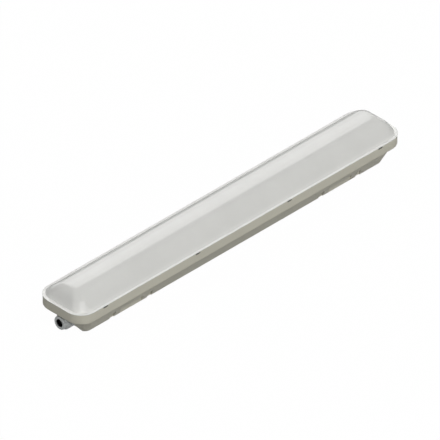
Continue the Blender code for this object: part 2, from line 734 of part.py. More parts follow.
def board_link(parts):
    """The connector that bridges the two boards."""
    centre = Vector((TRAY_MIDDLE, LINK_SIDE, BOARD_TOP + GAP + LINK_HEIGHT / 2))
    link = boxes("board_link", [(centre, (LINK_LENGTH, LINK_WIDTH, LINK_HEIGHT))], parts, CONNECTOR_EDGE)
    return finish(link, NATURAL_NYLON, 0.4)


def feed_connector(parts, cutters):
    """Two-pole connector on the second board. The leads from the driver enter its +Y face."""
    centre = Vector((FEED_X, FEED_Y, BOARD_TOP + GAP + FEED_HEIGHT / 2))
    body = boxes("feed_connector", [(centre, (FEED_LENGTH, FEED_DEPTH, FEED_HEIGHT))], parts, CONNECTOR_EDGE)
    radius = LED_LEAD_RADIUS + GAP
    entries = [(end - Y_AXIS * GAP, end + Y_AXIS * FEED_DEPTH, radius) for end in feed_lead_ends()]
    carve(body, rods("feed_entries", entries, cutters))
    return finish(body, NATURAL_NYLON, 0.4)


def feed_lead_ends():
    """Where the two leads stop inside the feed connector."""
    height = BOARD_TOP + GAP + FEED_HEIGHT / 2
    return [Vector((FEED_X + side * FEED_PITCH / 2, FEED_Y, height)) for side in (-1, 1)]


def driver_screw_places():
    reach = (DRIVER_LENGTH + DRIVER_EAR) / 2
    return [(DRIVER_X - reach, 0), (DRIVER_X + reach, 0)]


def driver_base(parts, cutters):
    """Plate with an ear at each end, screwed to the underside of the tray."""
    centre = Vector((DRIVER_X, 0, DRIVER_TOP - DRIVER_PLATE / 2))
    size = (DRIVER_LENGTH + 2 * DRIVER_EAR, DRIVER_WIDTH, DRIVER_PLATE)
    plate = boxes("driver_base", [(centre, size)], parts)
    carve(plate, hole_cutter("driver_ear_holes", driver_screw_places(), DRIVER_SCREW_RADIUS + GAP,
                             DRIVER_TOP - DRIVER_PLATE - OVERRUN, DRIVER_TOP + OVERRUN, cutters))
    return finish(plate, SHEET_WHITE, 0.5)


def driver_port_ends(side):
    """Where two leads stop inside the driver, at its gland end (-1) or its far end (1)."""
    x = DRIVER_X + side * (DRIVER_LENGTH / 2 - DRIVER_PORT_DEPTH)
    height = DRIVER_CASE_TOP - DRIVER_HEIGHT / 2
    return [Vector((x, way * DRIVER_PORT_PITCH / 2, height)) for way in (-1, 1)]


def driver_cover(parts, cutters):
    """The driver's case, with two lead ports in each end."""
    centre = Vector((DRIVER_X, 0, DRIVER_CASE_TOP - DRIVER_HEIGHT / 2))
    case = boxes("driver_case", [(centre, (DRIVER_LENGTH, DRIVER_WIDTH, DRIVER_HEIGHT))], parts, DRIVER_EDGE)
    ports = []
    for side, radius in ((-1, MAINS_LEAD_RADIUS), (1, LED_LEAD_RADIUS)):
        for end in driver_port_ends(side):
            outward = X_AXIS * side
            ports.append((end - outward * GAP, end + outward * (DRIVER_PORT_DEPTH + OVERRUN), radius + GAP))
    carve(case, rods("driver_ports", ports, cutters))
    return finish(case, MASK_WHITE, 0.45)


def driver_screws(parts):
    places = [Vector((x, y, DRIVER_TOP - DRIVER_PLATE - GAP)) for x, y in driver_screw_places()]
    screws("driver_screw", DRIVER_SCREW_RADIUS, DRIVER_SCREW_LENGTH, places, parts, -1)


def pole_positions():
    return [(index - (TERMINAL_POLES - 1) / 2) * TERMINAL_POLE_PITCH for index in range(TERMINAL_POLES)]


def terminal_screw_places():
    """A diagonal pair, each between two poles and clear of the button wells."""
    reach = TERMINAL_LENGTH / 2 - TERMINAL_SCREW_EDGE
    return [(TERMINAL_X + side * reach, side * TERMINAL_POLE_PITCH / 2) for side in (-1, 1)]


def terminal_lead_ends():
    """Where the three leads to the driver and the tray stop inside the terminal block, from -Y to +Y."""
    x = TERMINAL_X + TERMINAL_LENGTH / 2 - TERMINAL_ENTRY_DEPTH
    height = TERMINAL_BOTTOM + TERMINAL_ENTRY_HEIGHT
    return [Vector((x, y, height)) for y in pole_positions()]


def terminal_block(parts, cutters):
    """Push-in block with entries front and back, button wells on top and two sunk screws."""
    centre = Vector((TERMINAL_X, 0, TERMINAL_BOTTOM + TERMINAL_HEIGHT / 2))
    block = boxes("terminal_block", [(centre, (TERMINAL_LENGTH, TERMINAL_WIDTH, TERMINAL_HEIGHT))], parts,
                  TERMINAL_EDGE)
    well_depth = BUTTON_HEIGHT - BUTTON_PROUD + BUTTON_TRAVEL + GAP
    wells = [(Vector((TERMINAL_X, y, TERMINAL_TOP)),
              (BUTTON_LENGTH + 2 * GAP, BUTTON_WIDTH + 2 * GAP, 2 * well_depth)) for y in pole_positions()]
    carve(block, boxes("button_wells", wells, cutters))
    entries = []
    for end in terminal_lead_ends():
        front = Vector((2 * TERMINAL_X - end.x, end.y, end.z))
        entries.append((end - X_AXIS * GAP, end + X_AXIS * (TERMINAL_ENTRY_DEPTH + OVERRUN),
                        TERMINAL_ENTRY_RADIUS))
        entries.append((front, front - X_AXIS * (TERMINAL_ENTRY_DEPTH + OVERRUN), TERMINAL_ENTRY_RADIUS))
    carve(block, rods("terminal_entries", entries, cutters))
    for name, radius, low in (
        ("terminal_shank_holes", TERMINAL_SCREW_RADIUS, TERMINAL_BOTTOM - OVERRUN),
        ("terminal_counterbores", TERMINAL_SCREW_RADIUS * HEAD_RADIUS_SHARE, TERMINAL_SCREW_SEAT),
    ):
        carve(block, hole_cutter(name, terminal_screw_places(), radius + GAP, low, TERMINAL_TOP + OVERRUN,
                                 cutters))
    return finish(block, NATURAL_NYLON, 0.4)


def release_buttons(parts):
    """One sprung button for each pole. Each stands on its own centre line and is pressed along -Z."""
    shape = box_mesh("release_button", [(Vector((0, 0, 0)), (BUTTON_LENGTH, BUTTON_WIDTH, BUTTON_HEIGHT))],
                     BUTTON_EDGE)
    for pole, y in zip(("earth", "neutral", "live"), pole_positions()):
        button = place("button_" + pole, shape.copy(), parts)
        button.location = (TERMINAL_X, y, TERMINAL_TOP + BUTTON_PROUD - BUTTON_HEIGHT / 2)
        finish(button, BUTTON_ORANGE, 0.4)


def terminal_screws(parts):
    places = [Vector((x, y, TERMINAL_SCREW_SEAT + GAP)) for x, y in terminal_screw_places()]
    screws("terminal_screw", TERMINAL_SCREW_RADIUS, TERMINAL_SCREW_LENGTH, places, parts)


def smooth_path(anchors, reach, spacing):
    """Evenly spaced points on a curve through anchors, each a point and the way the lead runs there."""
    fine = []
    for (start, start_way), (end, end_way) in zip(anchors, anchors[1:]):
        pull = min(reach, (end - start).length / 2)
        controls = (start, start + start_way * pull, end - end_way * pull, end)
        count = max(int((end - start).length / spacing), 4)
        for step in range(count):
            share = step / count
            rest = 1 - share
            weights = (rest ** 3, 3 * share * rest ** 2, 3 * share ** 2 * rest, share ** 3)
            fine.append(sum((point * weight for point, weight in zip(controls, weights)), Vector()))
    fine.append(anchors[-1][0])
    return fine


def lead(name, anchors, radius, reach, colour, parts):
    """An insulated wire between two pieces that hold its ends."""
    points = smooth_path(anchors, reach, LEAD_SPACING)
    curve = bpy.data.curves.new(name, "CURVE")
    curve.dimensions = "3D"
    curve.bevel_depth = radius
    curve.bevel_resolution = 2
    curve.use_fill_caps = True
    spline = curve.splines.new("POLY")
    spline.points.add(len(points) - 1)
    for target, point in zip(spline.points, points):
        target.co = (*point, 1)
    return finish(place(name, curve, parts), colour, 0.4)


def mains_leads(parts):
    """From the terminal block to the driver, and from its earth pole to the tray."""
    earth_end, neutral_end, live_end = terminal_lead_ends()
    neutral_port, live_port = driver_port_ends(-1)
    for name, start, end, colour in (
        ("lead_neutral", neutral_end, neutral_port, NEUTRAL_BLUE),
        ("lead_live", live_end, live_port, LIVE_BROWN),
    ):
        mouth = start + X_AXIS * TERMINAL_ENTRY_DEPTH
        port_mouth = end - X_AXIS * DRIVER_PORT_DEPTH
        anchors = [(start, X_AXIS), (mouth, X_AXIS), (port_mouth, X_AXIS), (end, X_AXIS)]
        lead(name, anchors, MAINS_LEAD_RADIUS, LEAD_REACH, colour, parts)
    tag_end = tag_barrel_start()
    mouth = earth_end + X_AXIS * TERMINAL_ENTRY_DEPTH
    anchors = [(earth_end, X_AXIS), (mouth, X_AXIS), (tag_end - X_AXIS * GAP, X_AXIS)]
    lead("lead_earth", anchors, MAINS_LEAD_RADIUS, LEAD_REACH, EARTH_GREEN, parts)


def led_leads(parts):
    """From the driver up through the grommet to the second board's connector."""
    half = GROMMET_BORE / 2
    for name, start, end, side, colour in (
        ("lead_led_negative", driver_port_ends(1)[0], feed_lead_ends()[1], 1, LEAD_BLACK),
        ("lead_led_positive", driver_port_ends(1)[1], feed_lead_ends()[0], -1, LEAD_RED),
    ):
        port_mouth = start + X_AXIS * DRIVER_PORT_DEPTH
        below = Vector((GROMMET_X + side * half, GROMMET_Y, TRAY_BOTTOM - GROMMET_LIP_HEIGHT))
        above = Vector((GROMMET_X + side * half, GROMMET_Y, TRAY_TOP + GROMMET_LIP_HEIGHT))
        feed_mouth = end + Y_AXIS * FEED_DEPTH / 2
        anchors = [(start, X_AXIS), (port_mouth, X_AXIS), (below, Z_AXIS), (above, Z_AXIS),
                   (feed_mouth, -Y_AXIS), (end, -Y_AXIS)]
        lead(name, anchors, LED_LEAD_RADIUS, LED_LEAD_REACH, colour, parts)


def tray_grommet(parts):
    """Rubber ring in the tray, with a lip above and below the sheet."""
    waist = GROMMET_BORE + GROMMET_WALL
    lip = waist + GROMMET_LIP
    half = TRAY_THICKNESS / 2 + GAP
    top = half + GROMMET_LIP_HEIGHT
    profile = [(lip, top), (lip, half), (waist, half), (waist, -half), (lip, -half), (lip, -top),
               (GROMMET_BORE, -top), (GROMMET_BORE, top)]
    ring = turned("tray_grommet", profile, parts, HOLE_SIDES)
    ring.location = (GROMMET_X, GROMMET_Y, (TRAY_TOP + TRAY_BOTTOM) / 2)
    return finish(ring, SEAL_BLACK, 0.7)


def earth_place():
    """Where the earth screw goes through the tray, so that the lead to it passes inside the nearest post."""
    side = tray_half_width() - POST_EDGE - POST_RADIUS - EARTH_POST_CLEARANCE
    return TRAY_START + EARTH_DISTANCE, -side


def tag_barrel_start():
    """Middle of the earth tag barrel's open end, which faces the gland."""
    x, y = earth_place()
    return Vector((x - TAG_LENGTH - TAG_BARREL_LENGTH, y, TAG_TOP - TAG_BARREL_RADIUS))


def earth_tag(parts, cutters):
    """Ring tag under the tray, with a round barrel for the earth lead."""
    x, y = earth_place()
    ring = hole_cutter("earth_tag", [(x, y)], TAG_RADIUS, TAG_TOP - TAG_THICKNESS, TAG_TOP, parts)
    neck_length = TAG_LENGTH + GAP
    neck = (Vector((x - neck_length / 2, y, TAG_TOP - TAG_THICKNESS / 2)),
            (neck_length, 2 * TAG_BARREL_RADIUS, TAG_THICKNESS))
    carve(ring, boxes("earth_tag_neck", [neck], cutters), "UNION")
    start = tag_barrel_start()
    barrel = (start, start + X_AXIS * TAG_BARREL_LENGTH, TAG_BARREL_RADIUS)
    carve(ring, rods("earth_tag_barrel", [barrel], cutters), "UNION")
    carve(ring, hole_cutter("earth_tag_hole", [(x, y)], EARTH_SCREW_RADIUS + GAP,
                            TAG_TOP - TAG_THICKNESS - OVERRUN, TAG_TOP + OVERRUN, cutters))
    return finish(ring, BRASS, 0.35, 1.0)


def earth_screw(parts, cutters):
    """The screw that holds the tag to the tray, and its nut."""
    x, y = earth_place()
    spot = Vector((x, y, TRAY_TOP + GAP))
    screws("earth_screw", EARTH_SCREW_RADIUS, EARTH_SCREW_LENGTH, [spot], parts)
    top = TAG_TOP - TAG_THICKNESS - GAP
    bottom = top - EARTH_NUT_HEIGHT
    nut = hole_cutter("earth_nut", [(x, y)], EARTH_NUT_RADIUS, bottom, top, parts, HEX_SIDES)
    carve(nut, hole_cutter("earth_nut_hole", [(x, y)], EARTH_SCREW_RADIUS + GAP,
                           bottom - OVERRUN, top + OVERRUN, cutters))
    finish(nut, ZINC, 0.35, 1.0)


def gland_frame(parts):
    """Empty on the gland's axis at the seat. Its +Z points out of the fixture."""
    frame = place("gland_axis", None, parts)
    frame.location = (SEAT_X, 0, GLAND_Z)
    frame.rotation_euler = (0, -math.pi / 2, 0)
    return frame


def hexagon(name, half_flats, low, high, frame, cutters):
    """Six-sided bar along the gland's axis, with two of its flats level."""
    radius = half_flats / math.cos(math.pi / HEX_SIDES)
    bar = rods(name, [(Vector((0, 0, low)), Vector((0, 0, high)), radius)], cutters, HEX_SIDES)
    bar.parent = frame
    return bar


def gland_seal(frame, parts):
    """Flat washer between the collar and the housing."""
    low = GAP
    high = GAP + GLAND_SEAL_THICKNESS
    profile = [(GLAND_NUT_RADIUS, high), (GLAND_NUT_RADIUS, low), (GLAND_THREAD_RADIUS + GAP, low),
               (GLAND_THREAD_RADIUS + GAP, high)]
    seal = turned("gland_seal", profile, parts)
    seal.parent = frame
    return finish(seal, SEAL_BLACK, 0.7)


def gland_collar_span():
    low = GLAND_SEAL_THICKNESS + 2 * GAP
    return low, low + GLAND_COLLAR_LENGTH


def gland_body(frame, parts, cutters):
    """Threaded sleeve through the housing wall, with a six-sided collar outside."""
    low, high = gland_collar_span()
    front = high + GLAND_FRONT_THREAD
    back = -POCKET_WALL - GLAND_INNER_THREAD
    bore = GLAND_THREAD_RADIUS - GLAND_SLEEVE
    thread = GLAND_THREAD_RADIUS - GAP / 2
    profile = [(thread, front), (thread, high), (GLAND_NUT_RADIUS, high), (GLAND_NUT_RADIUS, low),
               (GLAND_THREAD_RADIUS, low), (GLAND_THREAD_RADIUS, back), (bore, back), (bore, front)]
    body = turned("gland_body", profile, parts, GLAND_SIDES)
    body.parent = frame
    carve(body, hexagon("gland_collar_flats", GLAND_NUT_RADIUS * GLAND_FLAT_SHARE, back - OVERRUN,
                        front + OVERRUN, frame, cutters), "INTERSECT")
    return finish(body, GLAND_GREY, 0.45)


def gland_lock_nut(frame, parts, cutters):
    """Six-sided nut inside the housing wall, with a flat towards the floor."""
    high = -POCKET_WALL - GAP
    low = high - LOCK_NUT_LENGTH
    half_flats = GLAND_Z - FLOOR_THICKNESS - GAP
    nut = hexagon("gland_lock_nut", half_flats, low, high, frame, parts)
    hole = rods("lock_nut_hole", [(Vector((0, 0, low - OVERRUN)), Vector((0, 0, high + OVERRUN)),
                                   GLAND_THREAD_RADIUS + GAP)], cutters, GLAND_SIDES)
    hole.parent = frame
    carve(nut, hole)
    return finish(nut, GLAND_GREY, 0.45)


def gland_insert(frame, parts):
    """Rubber sleeve that grips the cable."""
    front = gland_collar_span()[1] + GLAND_FRONT_THREAD
    outer = GLAND_THREAD_RADIUS - GLAND_SLEEVE - GAP
    low = front - GLAND_INSERT_SINK
    high = front + GLAND_CLAW_LENGTH
    bore = outer - GLAND_INSERT_WALL
    profile = [(outer, high), (outer, low), (bore, low), (bore, high)]
    insert = turned("gland_insert", profile, parts)
    insert.parent = frame
    return finish(insert, SEAL_BLACK, 0.75)


def gland_claw(frame, parts, cutters):
    """Ring of fingers between the sleeve and the dome nut."""
    low = gland_collar_span()[1] + GLAND_FRONT_THREAD + GAP
    high = low + GLAND_CLAW_LENGTH
    inner = GLAND_THREAD_RADIUS - GLAND_SLEEVE
    profile = [(GLAND_CLAW_RADIUS, high), (GLAND_CLAW_RADIUS, low), (inner, low), (inner, high)]
    claw = turned("gland_claw", profile, parts)
    claw.parent = frame
    slot_length = GLAND_CLAW_LENGTH - GLAND_CLAW_ROOT + OVERRUN
    bm = bmesh.new()
    for index in range(GLAND_CLAW_FINGERS):
        turn = Matrix.Rotation(math.tau * index / GLAND_CLAW_FINGERS, 4, "Z")
        shift = Matrix.Translation((GLAND_THREAD_RADIUS, 0, low + GLAND_CLAW_ROOT + slot_length / 2))
        size = Matrix.Diagonal((2 * GLAND_SLEEVE + 2 * GAP, GLAND_CLAW_SLOT, slot_length, 1))
        bmesh.ops.create_cube(bm, size=1, matrix=turn @ shift @ size)
    slots = place("claw_slots", mesh_of("claw_slots", bm), cutters)
    slots.parent = frame
    carve(claw, slots)
    return finish(claw, GLAND_GREY, 0.45)


def gland_nut(frame, parts, cutters):
    """Dome nut: six-sided grip, sloping shoulder and round nose with the cable's mouth."""
    low = gland_collar_span()[1] + GAP
    front = low + GLAND_NUT_LENGTH
    grip = low + GLAND_GRIP_LENGTH
    thread_end = gland_collar_span()[1] + GLAND_FRONT_THREAD + GAP
    claw_end = thread_end + GLAND_CLAW_LENGTH + GAP
    thread = GLAND_THREAD_RADIUS + GAP / 2
    profile = [
        (GLAND_FRONT_RADIUS - GLAND_NOSE_EDGE, front),
        (GLAND_FRONT_RADIUS, front - GLAND_NOSE_EDGE),
        (GLAND_FRONT_RADIUS, front - GLAND_NOSE_LENGTH),
        (GLAND_NUT_RADIUS, grip),
        (GLAND_NUT_RADIUS, low),
        (thread, low),
        (thread, thread_end),
        (GLAND_CLAW_RADIUS + GAP, thread_end),
        (GLAND_CLAW_RADIUS + GAP, claw_end),
        (GLAND_MOUTH_RADIUS, front - GLAND_NOSE_EDGE),
        (GLAND_MOUTH_RADIUS, front),
    ]
    nut = turned("gland_dome_nut", profile, parts, GLAND_SIDES)
    nut.parent = frame
    carve(nut, hexagon("dome_nut_flats", GLAND_NUT_RADIUS * GLAND_FLAT_SHARE, low - OVERRUN, front + OVERRUN,
                       frame, cutters), "INTERSECT")
    return finish(nut, GLAND_GREY, 0.45)


def main():
    clear_scene()
    parts = collection("vapor_tight_light_fixture")
    cutters = collection("cutters")
    housing(parts, cutters)
    gasket(parts)
    cover(parts, cutters)
    gear_tray(parts, cutters)
    tray_screws(parts)
    for index, letter in enumerate("ab"):
        led_board(index, "led_board_" + letter, parts, cutters)
    board_screws(parts)
    board_link(parts)
    feed_connector(parts, cutters)
    driver_base(parts, cutters)
    driver_cover(parts, cutters)
    driver_screws(parts)
    terminal_block(parts, cutters)
    release_buttons(parts)
    terminal_screws(parts)
    mains_leads(parts)
    led_leads(parts)
    tray_grommet(parts)
    earth_tag(parts, cutters)
    earth_screw(parts, cutters)
    frame = gland_frame(parts)
    gland_seal(frame, parts)
    gland_body(frame, parts, cutters)
    gland_lock_nut(frame, parts, cutters)
    gland_insert(frame, parts)
    gland_claw(frame, parts, cutters)
    gland_nut(frame, parts, cutters)


main()
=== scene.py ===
"""Looks of the vapor tight light fixture: fine meshes, finishes, studio and camera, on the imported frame."""

import json
import math

import bmesh
import bpy
from mathutils import Matrix, Vector


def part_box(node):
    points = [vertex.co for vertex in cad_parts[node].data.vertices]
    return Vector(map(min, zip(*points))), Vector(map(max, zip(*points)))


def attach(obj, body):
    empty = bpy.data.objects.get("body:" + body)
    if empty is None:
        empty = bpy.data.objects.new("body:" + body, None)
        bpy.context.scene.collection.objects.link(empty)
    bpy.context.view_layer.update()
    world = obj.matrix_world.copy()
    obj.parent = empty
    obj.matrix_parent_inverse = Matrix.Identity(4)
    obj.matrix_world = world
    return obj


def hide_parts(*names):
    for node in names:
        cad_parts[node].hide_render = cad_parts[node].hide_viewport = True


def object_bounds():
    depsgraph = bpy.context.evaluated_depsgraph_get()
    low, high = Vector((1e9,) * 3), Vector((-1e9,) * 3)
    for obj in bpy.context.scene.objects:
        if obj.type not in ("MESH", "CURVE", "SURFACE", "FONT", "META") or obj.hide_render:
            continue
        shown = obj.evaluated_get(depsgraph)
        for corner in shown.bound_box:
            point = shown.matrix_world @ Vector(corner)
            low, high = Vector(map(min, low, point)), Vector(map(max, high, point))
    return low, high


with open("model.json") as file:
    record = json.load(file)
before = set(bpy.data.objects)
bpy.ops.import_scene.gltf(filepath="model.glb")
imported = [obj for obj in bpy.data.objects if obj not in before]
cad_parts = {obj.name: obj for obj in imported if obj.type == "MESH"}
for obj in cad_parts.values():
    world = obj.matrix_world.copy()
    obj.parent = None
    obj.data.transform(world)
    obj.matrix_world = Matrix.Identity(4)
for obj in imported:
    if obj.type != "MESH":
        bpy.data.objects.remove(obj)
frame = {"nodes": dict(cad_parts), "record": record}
cad_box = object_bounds()

X_AXIS = Vector((1, 0, 0))
Y_AXIS = Vector((0, 1, 0))
Z_AXIS = Vector((0, 0, 1))

# Camera: an isometric photograph, so a very long lens from far away
LENS = 1600.0
SENSOR = 36.0
FRAME_WIDTH = 0.6329
TARGET = Vector((-0.00155, 0.00058, 0.0330))
AWAY = Vector((-1, -1, 0.997)).normalized()
CLIP_BEFORE, CLIP_BEHIND = 2, 60

# Sizes of the fixture, in metres, as the solids have them
GAP = 0.0003
OVERRUN = 0.004
COVER_X, COVER_Y = (round(reach, 5) for reach in cad_box[1][:2])
COVER_CORNER = 0.0268
DOME_CORNER, DOME_WALL = 0.0220, 0.0020
DOME_FOOT_X, DOME_FOOT_Y = COVER_X - 0.0054, COVER_Y - 0.0037
DOME_FOOT_ANGLE = math.radians(78)
BASE_DEPTH = 0.0296
RIM_TOP = BASE_DEPTH + 0.0153
FLANGE_BOTTOM = RIM_TOP + GAP
FLANGE_TOP = FLANGE_BOTTOM + 0.0009
DOME_RISE = cad_box[1][2] - FLANGE_TOP
DOME_END_RADIUS = DOME_RISE / (1 - math.cos(DOME_FOOT_ANGLE))
DOME_SIDE_RADIUS = (DOME_FOOT_Y ** 2 + DOME_RISE ** 2) / (2 * DOME_RISE)
DOME_STRAIGHT_X = DOME_FOOT_X - DOME_END_RADIUS * math.sin(DOME_FOOT_ANGLE)
RIM_X, RIM_Y, RIM_CORNER, RIM_WALL = COVER_X - 0.0006, COVER_Y - 0.0006, 0.0262, 0.0022
BASE_X, BASE_Y, BASE_CORNER = RIM_X - 0.00635, RIM_Y - 0.00585, 0.0205
BACK_X, BACK_Y, BACK_CORNER = BASE_X - 0.01925, BASE_Y - 0.01255, 0.0110
BASE_WALL, BASE_FLOOR = 0.0022, 0.0025
GROOVE_FLOOR = BASE_DEPTH + BASE_WALL
LIP_TOP = RIM_TOP - 0.0039
TONGUE_BOTTOM = GROOVE_FLOOR + 0.0046
TONGUE_INSET, TONGUE_WALL = 0.0031, 0.0018
GLAND_Z = BASE_DEPTH / 2
SEAT_WALL = 0.0028
SEAT_X = -(BACK_X - SEAT_WALL)
SEAT_INNER_X = SEAT_X + SEAT_WALL
ARCH_RADIUS, ARCH_SPREAD = 0.0160, 0.0071
SLOT_COUNT, SLOT_LENGTH, SLOT_DEPTH, SLOT_FALL = 4, 0.0090, 0.0024, 0.0034
FIRST_SLOT_X = 0.05055 - COVER_X
LUG_SIZE, LUG_HEIGHT, LUG_SINK = (0.0080, 0.0015, 0.0030), 0.0402, 0.00015
CLIP_X, CLIP_HEIGHT = 0.2123, 0.0110
CLIP_BAY, CLIP_BAY_DEPTH = 0.0455, 0.0002
CLIP_NOTCH, CLIP_NOTCH_DEPTH, CLIP_NOTCH_AWAY = 0.0095, 0.0017, 0.0377
SHEET = 0.0008
POST_RADIUS, POST_BORE, POST_BORE_DEPTH = 0.0040, 0.00205, 0.012
PAD_LENGTH, PAD_WIDTH, PAD_TOP = 0.0220, 0.0336, 0.0040

# Cable gland, measured along its own axis, outwards from its seat
GLAND_BORE, GLAND_HOLE, GLAND_GRIP = 0.0076, 0.0103, 0.0131
GLAND_FLATS = GLAND_GRIP * 0.94
COLLAR_LOW, COLLAR_HIGH = 0.0018, 0.0068
SLEEVE_FRONT, SLEEVE_BACK = COLLAR_HIGH + 0.0072, -SEAT_WALL - 0.0080
LOCK_FRONT, LOCK_BACK = -0.0031, -0.0081
CLAW_LOW = SLEEVE_FRONT + GAP
CLAW_SHOULDER, CLAW_HIGH = CLAW_LOW + 0.0040, CLAW_LOW + 0.0062
INSERT_BACK, INSERT_FRONT = SLEEVE_FRONT - 0.0060, SLEEVE_FRONT + 0.0062
NUT_LOW, NUT_NOSE = 0.0071, 0.0259
NUT_GRIP_END = NUT_LOW + 0.0100

# Boards, terminal block, leads and screws
BOARD, LED_PITCH, LED_MARGIN = 0.0016, 0.010, 0.009
LED_PARTS = (  # shift along the board, size, how deep it sits in the board, material
    (0, (0.0035, 0.0028, 0.0010), 0.0002, 0),
    (-0.00015, (0.0027, 0.0022, 0.00088), 0.0, 1),
    (-0.0020, (0.0008, 0.0020, 0.0003), 0.0001, 2),
    (0.0020, (0.0008, 0.0020, 0.0003), 0.0001, 2),
)
DRILL = 0.002
BOARD_HOLE = 0.0016
BLOCK_HOLE, BLOCK_HOLE_LOW = 0.0017, 0.0011
COUNTERBORE, COUNTERBORE_DEPTH = 0.0031, 0.0025
POLE_PITCH = 0.0092
POLES = (-POLE_PITCH, 0.0, POLE_PITCH)
POLE_GROOVE = (0.0008, 0.0006)
WELL_SIZE = (0.0056, 0.0046, 0.0118)
ENTRY_HEIGHT, ENTRY_DEPTH, ENTRY_RADIUS = 0.0060, 0.0060, 0.0018
FUNNEL_DEPTH, FUNNEL_RADIUS = 0.0007, 0.0025
MAINS_LEAD, LED_LEAD = 0.0011, 0.0008
MAINS_EASE, LED_EASE = 0.0450, 0.0220
PORT_Y, PORT_DEPTH = 0.0040, 0.0040
TAG_DROP, GROMMET_SIDE = 0.0018, 0.0013
FEED_SIDE, FEED_RUN = 0.0020, 0.0030
HEAD_RADIUS, HEAD_HEIGHT = 2.0, 1.2  # times the screw's own radius
SCREW_SPIN = 1.1
SCREWS = {  # radius of each group's screws
    "tray_screw": 0.00175,
    "board_screw": 0.0013,
    "driver_screw": 0.00165,
    "terminal_screw": 0.0014,
    "earth_screw": 0.00175,
}

# Light panels of the studio: azimuth and elevation of their corners in degrees, and their brightness
PANELS = (
    (((38.5, 18.5), (59.5, 17.5), (66.5, 51), (31.5, 46.8)), 2.30),
    (((-153, 10), (-121, 10), (-46.5, 56.3), (-108.8, 73.2)), 2.50),
    (((20, 1), (88, 1), (88, 15), (20, 15)), 1.45),
    (((-95, 15), (-60, 15), (-60, 50), (-85, 50)), 1.20),
)
PANEL_EDGE = 0.004
AMBIENT = 0.36
FLOOR_Z, FLOOR_SIZE = -0.0005, 30
FLOOR_UNLIT, FLOOR_SHOWN = (0.06, 0.06, 0.06), (0.95, 0.95, 0.95)
FLOOR_GLOW = 0.985
CARDS = (  # name, centre and size
    ("card_long", (0.3, 0.16, 0.033), (2.0, 0.002, 0.066)),
    ("card_end", (0.46, -0.3, 0.033), (0.002, 0.9, 0.066)),
)

# Mottling of the plastics: noise scale and detail, and how each shifts the colour
CLOUD_NOISE, CLOUD_DARK, CLOUD_LIGHT = (22, 3), 0.98, 1.02
FLECK_NOISE, FLECK_SHARE, FLECK_SHADE = (900, 2), 0.35, 0.95
SHEEN_NOISE = (60, 3)
# How the painted shade in gaps fades in, as a span of the share of open sky
PAINTED_SHADE_SPAN = 0.55
WHITE = (1.0, 1.0, 1.0)

# Painted light on the opal cover, first along its sides and then at its ends: how much whiter its parts are
# painted, and how far up
LENS_FOOT_PAINTED_LIGHT = ((1.12, 0.0045), (1.28, 0.0150))
FLANGE_PAINTED_LIGHT = (1.06, 1.19)
ENDS_FROM, ENDS_TO = DOME_FOOT_X - 0.011, DOME_FOOT_X - 0.003


def link(obj):
    bpy.context.scene.collection.objects.link(obj)
    return obj


def calculate(tree, operation, first, second=None):
    """A math node on one or two values, each a socket or a number."""
    node = tree.nodes.new("ShaderNodeMath")
    node.operation = operation
    for socket, value in zip(node.inputs, (first, second)):
        if isinstance(value, float):
            socket.default_value = value
        elif value is not None:
            tree.links.new(value, socket)
    return node.outputs[0]


